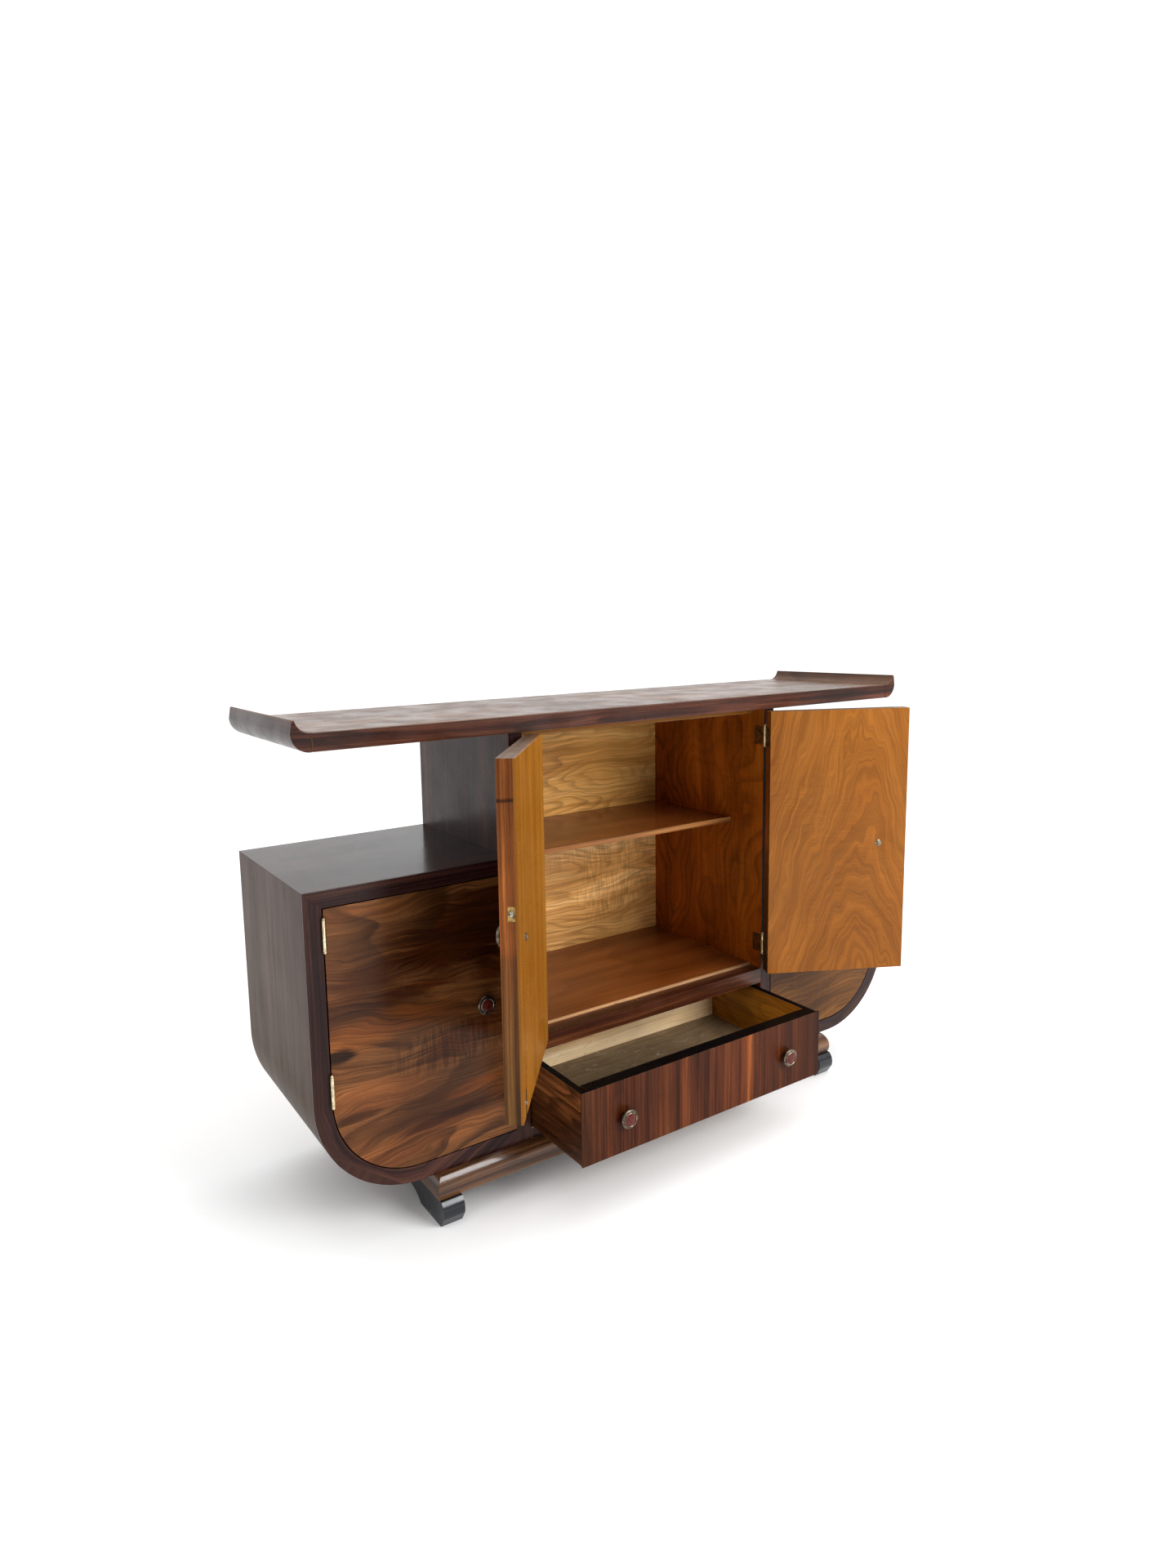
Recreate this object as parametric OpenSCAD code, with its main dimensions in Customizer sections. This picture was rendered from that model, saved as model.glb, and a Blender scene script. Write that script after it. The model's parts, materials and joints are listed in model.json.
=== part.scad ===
// Sideboard with a tall open-front centre tower, two round-cornered wing cupboards,
// a floating top with scooped ends, a drawer, a bullnose plinth and scroll feet.
// X runs to the right, Y to the back, Z up. The origin is under the middle of the whole
// outline with both tower doors open, at floor level. Sizes are millimetres.

/* [Carcass] */
// Overall width over the two wing cupboards
carcass_w = 1524; // [1400:2:1700]
// Depth of the carcass from its front edges to its back
carcass_d = 380; // [340:2:440]
// Height of the underside of the carcass above the floor
carcass_z = 95; // [85:1:115]
// Height of the wing cupboards' tops above the floor
wing_top_z = 678; // [640:1:720]
// Height of the underside of the floating top
slab_z = 915.5; // [890:0.5:960]
// Outside width of the centre tower
tower_w = 704; // [640:2:760]
// Thickness of the tower's sides
tower_t = 31; // [22:1:36]
// Thickness of the wing cupboards' sides
wing_t = 33; // [22:1:40]
// Thickness of the wing cupboards' bottoms
wing_bottom_t = 30; // [20:1:36]
// Thickness of the wing cupboards' tops
wing_top_t = 30; // [20:1:36]
// Radius of the wings' outer bottom corners
corner_r = 202; // [150:1:240]
// Depth of the lipping on the wings' front edges
edging_d = 5; // [3:1:8]

/* [Top] */
// Thickness of the top, and radius of its rounded ends
slab_t = 32.5; // [26:0.5:38]
// Distance that the top stands in front of the carcass
slab_front = 9; // [0:1:20]
// Distance from the carcass's back to the top's back edge
slab_back = 14; // [0:1:30]
// Height of the upturned ends above the top's flat
tip_h = 22; // [14:1:26]
// Half the distance between the two upturned ends' inner edges
tip_x = 761; // [700:1:850]
// Radius of the scoop at each end
scoop_r = 28; // [24:1:36]

/* [Tower] */
// Height of the tower's floor inside
floor_z = 312; // [290:1:340]
// Thickness of the tower's floor
floor_t = 19; // [16:1:20]
// Height of the rail under the tower doors
rail_top_z = 307.5; // [290:0.5:340]
// Height of the rail's lower edge
rail_z = 274; // [268:1:280]
// Depth of the rail
rail_d = 33; // [30:1:36]
// Height of the shelf's upper surface
shelf_z = 652.5; // [500:0.5:760]
// Thickness of the shelf
shelf_t = 11.5; // [9:0.5:18]
// Distance of the shelf's front edge behind the carcass front
shelf_y = 100; // [60:1:160]
// Thickness of the back panels
back_t = 6; // [4:1:10]
// Thickness of the board between the tower's top and the floating top
sub_top_t = 12; // [9:1:18]

/* [Doors] */
// Gap round each door
door_gap = 2; // [1.5:0.5:3]
// Thickness of a tower door, with its lining
tower_door_t = 31; // [26:1:31]
// Thickness of the lining on a tower door's inner face
lining_t = 4; // [2:1:6]
// Lower edge of the tower doors
tower_door_z = 309.5; // [300:0.5:330]
// Upper edge of the tower doors
tower_door_top_z = 912; // [890:0.5:913]
// Angle at which the left tower door stands open
left_open = 131; // [95:1:150]
// Angle at which the right tower door stands open
right_open = 153; // [95:1:160]
// Thickness of a wing door
wing_door_t = 22; // [18:1:26]

/* [Drawer] */
// Distance by which the drawer stands open
drawer_out = 172; // [0:1:200]
// Lower edge of the drawer front
drawer_z = 120; // [119.6:0.1:122]
// Upper edge of the drawer front
drawer_top_z = 265.5; // [255:0.5:267]
// Thickness of the drawer front
drawer_front_t = 28; // [20:1:30]
// Thickness of the drawer's sides and back
drawer_side_t = 15; // [10:1:18]
// Length of the drawer from front to back
drawer_l = 326; // [280:1:340]

/* [Base] */
// Half width of the plinth moulding at its fullest
plinth_x = 542; // [500:1:600]
// Distance that the moulding bulges in front of the carcass
plinth_front = 21; // [10:1:30]
// Height of the plinth's lower edge above the floor
plinth_z = 51.5; // [45:0.5:60]
// Radius of the moulding's rounded face
plinth_r = 41; // [35:1:50]
// Width of a foot, left to right
foot_w = 45; // [36:1:60]
// Distance of a foot's outer side from the centre line
foot_x = 538; // [500:1:600]

/* [Hardware] */
// Radius of a hinge's knuckles
knuckle_r = 3.6; // [3:0.1:3.6]
// Length of a tower door's hinge
tower_hinge_l = 42; // [36:1:60]
// Length of a wing door's hinge
wing_hinge_l = 54; // [40:1:70]
// Radius of a knob's disc
knob_r = 19; // [14:0.5:22]
// Height of a knob above the surface it is fixed to
knob_h = 17; // [15:0.5:24]
// Travel of the lock's bolt
lock_travel = 8; // [4:1:10]
// Travel of the flush bolt
bolt_travel = 10; // [6:1:10]

/* [Hidden] */
$fn = 96;
half_w = carcass_w / 2;
tower_x = tower_w / 2;
inner_x = tower_x - tower_t;
slab_top_z = slab_z + slab_t;
corner_x = half_w - corner_r;
wing_roof_z = wing_top_z - wing_top_t;
base_board_t = 23;
base_top_z = carcass_z + base_board_t;
back_y = carcass_d - back_t;
shelf_lip_t = 4;
floor_lip_t = 5;
eps = 0.01;

// Hinge axes stand in the middle of the door gap, in front of the carcass
hinge_out = 4;
tower_axis_x = inner_x - door_gap / 2;
wing_axis_x = half_w - wing_t - door_gap / 2;
tower_hinge_zs = [348.5, 834];
wing_hinge_zs = [292, 573.5];
leaf_t = 0.75;
leaf_y = 4.2;
pin_r = 1.6;
pin_clearance = 0.05;
knuckle_gap = 0.3;
ball_r = 3.2;

// Tower door, measured from its hinge axis: u along the door, v from the axis to the back
tower_door_u0 = door_gap / 2;
tower_door_u1 = tower_axis_x - door_gap / 2;
tower_knob_u = 255;
tower_knob_z = 606;
lock_z = 664;
lock_v = hinge_out + 19.5;
lock_plate = [2, 12, 24];
lock_case = [28, 10, 22];
lock_bolt_size = [21, 6, 10];
slot_play = 0.4;
keyhole_u = 290;
keyhole_r = 2;
bolt_u = 286.5;
bolt_bar = [5, 4, 35];
bolt_plate_size = [9, 1.2, 46];
bolt_thumb = [3, 5, 6];
bolt_v = hinge_out + tower_door_t - bolt_plate_size.y - bolt_bar.y - slot_play;
bolt_rest_z = tower_door_z + 0.7;
thumb_z = bolt_rest_z + 19;

// Knob, from the surface outwards
shank_r = 3;
stem_r = 5.5;
disc_z = 8;
disc_t = 6;
rim_r = 13.5;
inset_r = 12;
nut_r = 5;
nut_h = 3;
wing_knob_x = 421;
wing_knob_z = 405;
drawer_knob_x = 217;
drawer_knob_z = 190;

// Drawer
drawer_x = inner_x - 1.5;
drawer_side_x = inner_x - 3.5;
drawer_inner_x = drawer_side_x - drawer_side_t;
drawer_face_t = 3;
drawer_side_top_z = drawer_top_z - 2.5;
drawer_bottom_z = 144;
drawer_bottom_t = 6;
drawer_groove = 5;
runner_t = 1.6;
runner_w = 19;

// Plinth and feet
plinth_top_z = carcass_z;
plinth_mid_z = 66;
plinth_back_y = 372;
plinth_rear_t = 27;
mitre_size = 2 * plinth_x;
foot_bulge_r = 30;
foot_toe = [-34, 30];
foot_sole_y = [-20, 68];
foot_heel_y = 140;
foot_arch_r = 62;
foot_arch = [112, -42];
rear_foot_y = 344;

// Shelf pins
pin_hole_r = 3;
shelf_pin_out = 9;
shelf_pin_in = 8;
shelf_pin_ys = [125, 345];

// The left door, open, reaches furthest forward: its inner free corner
door_reach_y = -hinge_out
    - tower_door_u1 * sin(left_open)
    + (hinge_out + tower_door_t) * cos(left_open);
front_y = -(door_reach_y + carcass_d) / 2;

// Places

// Measures y from the carcass's front edges
module from_front() {
    translate([0, front_y, 0]) children();
}

// Draws what is given for the left side on either side
module on_side(side) {
    if (side < 0)
        children();
    else
        mirror([1, 0, 0]) children();
}

// A box from its lowest corner to its highest
module box(low, high) {
    translate(low) cube(high - low);
}

// A flat outline in x and z, as thick as the distance from y0 to y1
module upright(y0, y1) {
    translate([0, y1, 0]) rotate([90, 0, 0]) linear_extrude(y1 - y0) children();
}

// A tower door's own place: u, v and z from its hinge axis, turned open
module tower_door_place(side, angle) {
    from_front()
        on_side(side)
            translate([-tower_axis_x, -hinge_out, 0])
                rotate([0, 0, -angle])
                    children();
}

// A wing door's own place, closed
module wing_door_place(side) {
    from_front()
        on_side(side)
            translate([-wing_axis_x, -hinge_out, 0])
                children();
}

// The drawer's own place, y measured from its face
module drawer_place() {
    from_front() translate([0, -drawer_out, 0]) children();
}

// Shapes that repeat

// Left wing cupboard's outline, in from its side, its inner end, its top and its bottom
module wing_outline(side_in, end_in, top_in, bottom_in) {
    radius = corner_r - side_in;
    left = -half_w + side_in;
    right = -tower_x - end_in;
    bottom = carcass_z + bottom_in;
    top = wing_top_z - top_in;
    centre_z = bottom + radius;
    translate([left, centre_z]) square([right - left, top - centre_z]);
    translate([-corner_x, bottom]) square([right + corner_x, radius + eps]);
    translate([-corner_x, centre_z]) circle(radius);
}

// The opening of the left wing cupboard, made smaller by a gap
module wing_opening(gap) {
    wing_outline(wing_t + gap, gap, wing_top_t + gap, wing_bottom_t + gap);
}

// The wing's walls alone: side, curved corner, bottom and top
module wing_walls() {
    difference() {
        wing_outline(0, 0, 0, 0);
        wing_outline(wing_t, -1, wing_top_t, wing_bottom_t);
    }
}

// Fixed half of a hinge standing at z: leaf, two knuckles, pin and ball ends
module hinge_fixed(z, length, leaf_d) {
    third = length / 3;
    translate([0, 0, z]) {
        cylinder(r = knuckle_r, h = third);
        translate([0, 0, length - third]) cylinder(r = knuckle_r, h = third);
        cylinder(r = pin_r, h = length);
        translate([0, 0, -ball_r * 0.6]) sphere(r = ball_r);
        translate([0, 0, length + ball_r * 0.6]) sphere(r = ball_r);
        box([-door_gap / 2, leaf_y, 0], [-door_gap / 2 + leaf_t, leaf_d, length]);
        box([-door_gap / 2, 0, 0], [-door_gap / 2 + leaf_t, leaf_y, third]);
        box([-door_gap / 2, 0, length - third], [-door_gap / 2 + leaf_t, leaf_y, length]);
    }
}

// Moving half of the same hinge: leaf and middle knuckle, bored for the pin
module hinge_moving(z, length, leaf_d) {
    low = length / 3 + knuckle_gap;
    high = length * 2 / 3 - knuckle_gap;
    translate([0, 0, z])
        difference() {
            union() {
                translate([0, 0, low]) cylinder(r = knuckle_r, h = high - low);
                box([door_gap / 2 - leaf_t, leaf_y, 0], [door_gap / 2, leaf_d, length]);
                box([door_gap / 2 - leaf_t, 0, low], [door_gap / 2, leaf_y, high]);
            }
            translate([0, 0, low - 1]) cylinder(r = pin_r + pin_clearance, h = high - low + 2);
        }
}

// Knob pointing to -y from a surface at y = 0, with its shank through a board of
// thickness t and its nut behind; the coloured inset is a solid of its own
module knob(t) {
    rotate([90, 0, 0]) {
        translate([0, 0, -t - nut_h]) cylinder(r = nut_r, h = nut_h);
        translate([0, 0, -t]) cylinder(r = shank_r, h = t);
        cylinder(r = stem_r, h = disc_z);
        difference() {
            union() {
                translate([0, 0, disc_z]) cylinder(r = knob_r, h = disc_t);
                translate([0, 0, disc_z + disc_t]) cylinder(r = rim_r, h = 2);
            }
            translate([0, 0, disc_z + disc_t]) cylinder(r = inset_r, h = 3);
        }
        color("darkred")
            translate([0, 0, disc_z + disc_t])
                cylinder(r = inset_r, h = knob_h - disc_z - disc_t);
    }
}

// Hole for a knob's shank through a board of thickness t
module knob_hole(t) {
    rotate([90, 0, 0]) translate([0, 0, -t - 1]) cylinder(r = shank_r, h = t + 2);
}

// Top

// Scooped end of the top, in x and z, for the left end
module top_end_outline() {
    centre_x = -tip_x - 7.3 + slab_t;
    tip_z = slab_top_z + tip_h;
    joint_x = -tip_x + scoop_r;
    difference() {
        union() {
            intersection() {
                translate([centre_x, slab_top_z]) circle(slab_t);
                translate([centre_x - slab_t, slab_z]) square([slab_t, slab_t]);
            }
            translate([centre_x, slab_z]) square([joint_x - centre_x, slab_t]);
            polygon([
                [centre_x - slab_t, slab_top_z],
                [-tip_x - 3.8, tip_z - 1.5],
                [-tip_x - 2.4, tip_z],
                [joint_x, tip_z],
                [joint_x, slab_z + 1],
                [centre_x, slab_z + 1]]);
        }
        translate([joint_x, slab_top_z + scoop_r]) circle(scoop_r);
    }
}

module top_board() {
    x = tip_x - scoop_r;
    color("saddlebrown")
        from_front()
            box([-x, -slab_front, slab_z], [x, carcass_d - slab_back, slab_top_z]);
}

module top_end(side) {
    color("sienna")
        from_front()
            on_side(side)
                upright(-slab_front, carcass_d - slab_back) top_end_outline();
}

module sub_top() {
    color("peru")
        from_front()
            box([-inner_x, rail_d, slab_z - sub_top_t], [inner_x, back_y, slab_z]);
}

// Tower

module shelf_pin_holes() {
    for (y = shelf_pin_ys)
        translate([-inner_x, y, shelf_z - shelf_t - pin_hole_r])
            rotate([0, -90, 0])
                translate([0, 0, -1]) cylinder(r = pin_hole_r, h = shelf_pin_in + 1);
}

module tower_side(side) {
    color("saddlebrown")
        from_front()
            on_side(side)
                difference() {
                    box([-tower_x, 0, carcass_z], [-inner_x, carcass_d, slab_z]);
                    shelf_pin_holes();
                }
}

module tower_back() {
    color("goldenrod")
        from_front()
            box([-inner_x, back_y, base_top_z], [inner_x, carcass_d, slab_z]);
}

module tower_floor() {
    color("sienna")
        from_front()
            box([-inner_x, rail_d + floor_lip_t, floor_z - floor_t], [inner_x, back_y, floor_z]);
}

module floor_lip() {
    color("burlywood")
        from_front()
            box([-inner_x, rail_d, floor_z - floor_t], [inner_x, rail_d + floor_lip_t, floor_z]);
}

module keeper_slot(depth) {
    x = -tower_axis_x + bolt_u;
    y = bolt_v + bolt_bar.y / 2 - hinge_out;
    size = [bolt_bar.x + 1.4, bolt_bar.y + 1.4, depth];
    translate([x - size.x / 2, y - size.y / 2, rail_top_z - depth])
        cube([size.x, size.y, depth + 1]);
}

module keeper_plate() {
    x = -tower_axis_x + bolt_u;
    y = bolt_v + bolt_bar.y / 2 - hinge_out;
    box([x - 8, y - 4.5, rail_top_z - 1.2], [x + 8, y + 4.5, rail_top_z]);
}

module tower_rail() {
    color("saddlebrown")
        from_front()
            difference() {
                box([-inner_x, 0, rail_z], [inner_x, rail_d, rail_top_z]);
                keeper_plate();
                keeper_slot(14);
            }
}

module bolt_keeper() {
    color("gold")
        from_front()
            difference() {
                keeper_plate();
                keeper_slot(2);
            }
}

module shelf() {
    color("peru")
        from_front()
            box([-inner_x, shelf_y + shelf_lip_t, shelf_z - shelf_t], [inner_x, back_y, shelf_z]);
}

module shelf_lip() {
    color("rosybrown")
        from_front()
            box([-inner_x, shelf_y, shelf_z - shelf_t], [inner_x, shelf_y + shelf_lip_t, shelf_z]);
}

module shelf_pins() {
    color("silver")
        from_front()
            for (side = [-1, 1])
                on_side(side)
                    for (y = shelf_pin_ys)
                        translate([-inner_x - shelf_pin_in, y, shelf_z - shelf_t - pin_hole_r])
                            rotate([0, 90, 0])
                                cylinder(r = pin_hole_r, h = shelf_pin_in + shelf_pin_out);
}

// Wings

module wing_top(side) {
    color("saddlebrown")
        from_front()
            on_side(side)
                box([-half_w, edging_d, wing_roof_z], [-tower_x, carcass_d, wing_top_z]);
}

module wing_side(side) {
    color("saddlebrown")
        from_front()
            on_side(side)
                upright(edging_d, carcass_d)
                    intersection() {
                        wing_walls();
                        translate([-half_w, carcass_z])
                            square([corner_r, wing_roof_z - carcass_z]);
                    }
}

module wing_bottom(side) {
    color("saddlebrown")
        from_front()
            on_side(side)
                box([-corner_x, edging_d, carcass_z], [-tower_x, carcass_d, carcass_z + wing_bottom_t]);
}

module wing_edging(side) {
    color("maroon")
        from_front()
            on_side(side)
                upright(0, edging_d) wing_walls();
}

module wing_backs() {
    color("tan")
        from_front()
            for (side = [-1, 1])
                on_side(side)
                    upright(back_y, carcass_d) wing_opening(0);
}

// Base

module base_board() {
    color("saddlebrown")
        from_front()
            box([-inner_x, 0, carcass_z], [inner_x, carcass_d, base_top_z]);
}

// Section of the moulding: x outwards from its back face, z up
module plinth_section() {
    intersection() {
        translate([0, plinth_mid_z]) circle(plinth_r);
        translate([0, plinth_z]) square([plinth_r, plinth_top_z - plinth_z]);
    }
}

// Straight length of moulding along y, its face to -x, for the left return
module plinth_return_blank(y0, y1) {
    translate([-plinth_x + plinth_r, y0, 0])
        mirror([1, 0, 0])
            rotate([90, 0, 0])
                mirror([0, 0, 1])
                    linear_extrude(y1 - y0) plinth_section();
}

// Everything in front of the left mitre, which runs back and inwards from the corner
module mitre_side() {
    translate([-plinth_x, -plinth_front, 0])
        rotate([0, 0, 45])
            translate([0, -mitre_size, 0]) cube([mitre_size, mitre_size, 2 * plinth_top_z]);
}

module plinth_front() {
    color("chocolate")
        from_front()
            intersection() {
                translate([-plinth_x, -plinth_front + plinth_r, 0])
                    rotate([90, 0, 90])
                        mirror([1, 0, 0]) linear_extrude(2 * plinth_x) plinth_section();
                mitre_side();
                mirror([1, 0, 0]) mitre_side();
            }
}

module plinth_return(side) {
    color("chocolate")
        from_front()
            on_side(side)
                difference() {
                    plinth_return_blank(-plinth_front, plinth_back_y);
                    mitre_side();
                }
}

module plinth_rear() {
    color("saddlebrown")
        from_front()
            box([-plinth_x + plinth_r, plinth_back_y - plinth_rear_t, plinth_z],
                [plinth_x - plinth_r, plinth_back_y, plinth_top_z]);
}

// Side view of a front foot: y to the back, z up
module foot_outline() {
    difference() {
        union() {
            intersection() {
                translate([foot_toe.x + foot_bulge_r, foot_toe.y]) circle(foot_bulge_r);
                translate([foot_toe.x, foot_toe.y - 10])
                    square([foot_bulge_r, plinth_z - foot_toe.y + 10]);
            }
            polygon([
                [foot_toe.x + 1.7, foot_toe.y - 10],
                [foot_sole_y[0], 0],
                [foot_sole_y[1], 0],
                [foot_heel_y, 0],
                [foot_heel_y, plinth_z],
                [foot_toe.x + foot_bulge_r - 1, plinth_z],
                [foot_toe.x + foot_bulge_r - 1, foot_toe.y - 10]]);
        }
        translate([foot_arch.x, foot_arch.y]) circle(foot_arch_r);
    }
}

module foot() {
    translate([-foot_x, 0, 0]) rotate([90, 0, 90]) linear_extrude(foot_w) foot_outline();
}

module feet() {
    color("black")
        from_front()
            for (side = [-1, 1])
                on_side(side) {
                    foot();
                    translate([0, rear_foot_y, 0]) mirror([0, 1, 0]) foot();
                }
}

module drawer_runners() {
    color("tan")
        from_front()
            for (side = [-1, 1])
                on_side(side)
                    box([-inner_x, 0, base_top_z],
                        [-inner_x + runner_w, back_y, base_top_z + runner_t]);
}

// Tower doors

// Pocket for the lock and the way in for its key, in the left door
module lock_pocket() {
    box([tower_door_u1 - lock_plate.x, lock_v - lock_plate.y / 2, lock_z - lock_plate.z / 2],
        [tower_door_u1 + 1, lock_v + lock_plate.y / 2, lock_z + lock_plate.z / 2]);
    box([tower_door_u1 - lock_plate.x - lock_case.x, lock_v - lock_case.y / 2,
            lock_z - lock_case.z / 2],
        [tower_door_u1, lock_v + lock_case.y / 2, lock_z + lock_case.z / 2]);
    translate([keyhole_u, 0, lock_z]) keyhole(lock_v);
}

// Keyhole that starts in front of the door and runs back to v
module keyhole(v) {
    rotate([-90, 0, 0]) cylinder(r = keyhole_r, h = v);
    box([-0.8, 0, -6], [0.8, v, 0]);
}

// Pocket that the lock's bolt enters, in the right door
module strike_pocket() {
    box([tower_door_u1 - lock_plate.x, lock_v - lock_plate.y / 2, lock_z - lock_plate.z / 2],
        [tower_door_u1 + 1, lock_v + lock_plate.y / 2, lock_z + lock_plate.z / 2]);
    bolt_hole(tower_door_u1 - lock_travel - 2, 1);
}

// Slot for the lock's bolt, from u to the door's free edge, with some play
module bolt_hole(u, play) {
    box([u, lock_v - lock_bolt_size.y / 2 - play, lock_z - lock_bolt_size.z / 2 - play],
        [tower_door_u1 + 1, lock_v + lock_bolt_size.y / 2 + play,
            lock_z + lock_bolt_size.z / 2 + play]);
}

// Groove for the flush bolt and seat for its plate, from the left door's inner face
module flush_bolt_groove() {
    inner_v = hinge_out + tower_door_t;
    plate_v = inner_v - bolt_plate_size.y;
    box([bolt_u - bolt_bar.x / 2 - slot_play, bolt_v - slot_play, tower_door_z - 1],
        [bolt_u + bolt_bar.x / 2 + slot_play, inner_v + 1, bolt_rest_z + bolt_bar.z + 1]);
    box([bolt_u - bolt_plate_size.x / 2, plate_v, tower_door_z - 1],
        [bolt_u + bolt_plate_size.x / 2, inner_v + 1, tower_door_z + bolt_plate_size.z]);
}

module door_board(v0, v1) {
    box([tower_door_u0, v0, tower_door_z], [tower_door_u1, v1, tower_door_top_z]);
}

module tower_door_left() {
    color("saddlebrown")
        tower_door_place(-1, left_open)
            difference() {
                door_board(hinge_out, hinge_out + tower_door_t - lining_t);
                lock_pocket();
                flush_bolt_groove();
                translate([tower_knob_u, hinge_out, tower_knob_z]) knob_hole(tower_door_t);
            }
}

module tower_lining_left() {
    color("orange")
        tower_door_place(-1, left_open)
            difference() {
                door_board(hinge_out + tower_door_t - lining_t, hinge_out + tower_door_t);
                flush_bolt_groove();
                translate([tower_knob_u, hinge_out, tower_knob_z]) knob_hole(tower_door_t);
            }
}

module tower_door_right() {
    color("saddlebrown")
        tower_door_place(1, right_open)
            difference() {
                door_board(hinge_out, hinge_out + tower_door_t - lining_t);
                strike_pocket();
                translate([tower_knob_u, hinge_out, tower_knob_z]) knob_hole(tower_door_t);
            }
}

module tower_lining_right() {
    color("orange")
        tower_door_place(1, right_open)
            difference() {
                door_board(hinge_out + tower_door_t - lining_t, hinge_out + tower_door_t);
                translate([tower_knob_u, hinge_out, tower_knob_z]) knob_hole(tower_door_t);
            }
}

module tower_hinge_leaves(side, angle) {
    color("gold")
        tower_door_place(side, angle)
            for (z = tower_hinge_zs)
                hinge_moving(z, tower_hinge_l, hinge_out + tower_door_t - 5);
}

module tower_knob(side, angle) {
    color("dimgray")
        tower_door_place(side, angle)
            translate([tower_knob_u, hinge_out, tower_knob_z]) knob(tower_door_t);
}

module tower_hinge_frame_leaves() {
    color("gold")
        for (side = [-1, 1])
            for (z = tower_hinge_zs)
                tower_door_place(side, 0)
                    hinge_fixed(z, tower_hinge_l, hinge_out + tower_door_t - 5);
}

module escutcheon() {
    plate_t = 1.2;
    color("gold")
        tower_door_place(-1, left_open)
            translate([keyhole_u, hinge_out - plate_t, lock_z])
                difference() {
                    union() {
                        translate([0, 0, 1]) rotate([-90, 0, 0]) cylinder(r = 5, h = plate_t);
                        box([-3.5, 0, -9], [3.5, plate_t, 0]);
                    }
                    translate([0, -1, 0]) keyhole(plate_t + 2);
                }
}

module lock_case() {
    color("gold")
        tower_door_place(-1, left_open)
            difference() {
                union() {
                    translate([tower_door_u1 - lock_plate.x, lock_v - lock_plate.y / 2,
                            lock_z - lock_plate.z / 2])
                        cube(lock_plate);
                    translate([tower_door_u1 - lock_plate.x - lock_case.x,
                            lock_v - lock_case.y / 2, lock_z - lock_case.z / 2])
                        cube(lock_case);
                }
                bolt_hole(tower_door_u1 - lock_bolt_size.x - 1, slot_play);
            }
}

module lock_bolt() {
    rest_u = tower_door_u1 - 0.4 - lock_bolt_size.x;
    color("silver")
        tower_door_place(-1, left_open)
            translate([rest_u, lock_v - lock_bolt_size.y / 2, lock_z - lock_bolt_size.z / 2])
                cube(lock_bolt_size);
}

module strike_plate() {
    color("gold")
        tower_door_place(1, right_open)
            difference() {
                translate([tower_door_u1 - lock_plate.x, lock_v - lock_plate.y / 2,
                        lock_z - lock_plate.z / 2])
                    cube(lock_plate);
                bolt_hole(tower_door_u1 - lock_plate.x - 1, 1);
            }
}

module bolt_plate() {
    plate_v = hinge_out + tower_door_t - bolt_plate_size.y;
    slot_z0 = thumb_z - bolt_travel - slot_play;
    slot_z1 = thumb_z + bolt_thumb.z + slot_play;
    color("gold")
        tower_door_place(-1, left_open)
            difference() {
                box([bolt_u - bolt_plate_size.x / 2, plate_v, tower_door_z],
                    [bolt_u + bolt_plate_size.x / 2, plate_v + bolt_plate_size.y,
                        tower_door_z + bolt_plate_size.z]);
                box([bolt_u - bolt_thumb.x / 2 - slot_play, plate_v - 1, slot_z0],
                    [bolt_u + bolt_thumb.x / 2 + slot_play, plate_v + 3, slot_z1]);
            }
}

module flush_bolt() {
    color("silver")
        tower_door_place(-1, left_open) {
            translate([bolt_u - bolt_bar.x / 2, bolt_v, bolt_rest_z]) cube(bolt_bar);
            translate([bolt_u - bolt_thumb.x / 2, bolt_v + bolt_bar.y - 1, thumb_z])
                cube(bolt_thumb);
        }
}

// Wing doors

module wing_door(side) {
    color("peru")
        from_front()
            on_side(side)
                difference() {
                    upright(0, wing_door_t) wing_opening(door_gap);
                    translate([-wing_knob_x, 0, wing_knob_z]) knob_hole(wing_door_t);
                }
}

module wing_hinge_leaves(side) {
    color("gold")
        wing_door_place(side)
            for (z = wing_hinge_zs)
                hinge_moving(z, wing_hinge_l, hinge_out + wing_door_t - 4);
}

module wing_hinge_frame_leaves() {
    color("gold")
        for (side = [-1, 1])
            for (z = wing_hinge_zs)
                wing_door_place(side)
                    hinge_fixed(z, wing_hinge_l, hinge_out + wing_door_t - 4);
}

module wing_knob(side) {
    color("dimgray")
        from_front()
            on_side(side)
                translate([-wing_knob_x, 0, wing_knob_z]) knob(wing_door_t);
}

// Drawer

module drawer_front() {
    color("peru")
        drawer_place()
            difference() {
                union() {
                    box([-drawer_x, 0, drawer_z], [drawer_x, drawer_face_t, drawer_top_z]);
                    box([-drawer_inner_x, 0, drawer_z],
                        [drawer_inner_x, drawer_front_t, drawer_top_z]);
                }
                drawer_bottom_shape();
                for (x = [-drawer_knob_x, drawer_knob_x])
                    translate([x, 0, drawer_knob_z]) knob_hole(drawer_front_t);
            }
}

module drawer_bottom_shape() {
    x = drawer_inner_x + drawer_groove;
    box([-x, drawer_front_t - drawer_groove, drawer_bottom_z],
        [x, drawer_l, drawer_bottom_z + drawer_bottom_t]);
}

module drawer_side(side) {
    color("saddlebrown")
        drawer_place()
            on_side(side)
                difference() {
                    box([-drawer_side_x, drawer_face_t, drawer_z],
                        [-drawer_inner_x, drawer_l, drawer_side_top_z]);
                    drawer_bottom_shape();
                }
}

module drawer_back() {
    color("burlywood")
        drawer_place()
            box([-drawer_inner_x, drawer_l - drawer_side_t, drawer_bottom_z + drawer_bottom_t],
                [drawer_inner_x, drawer_l, drawer_side_top_z - 3]);
}

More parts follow.
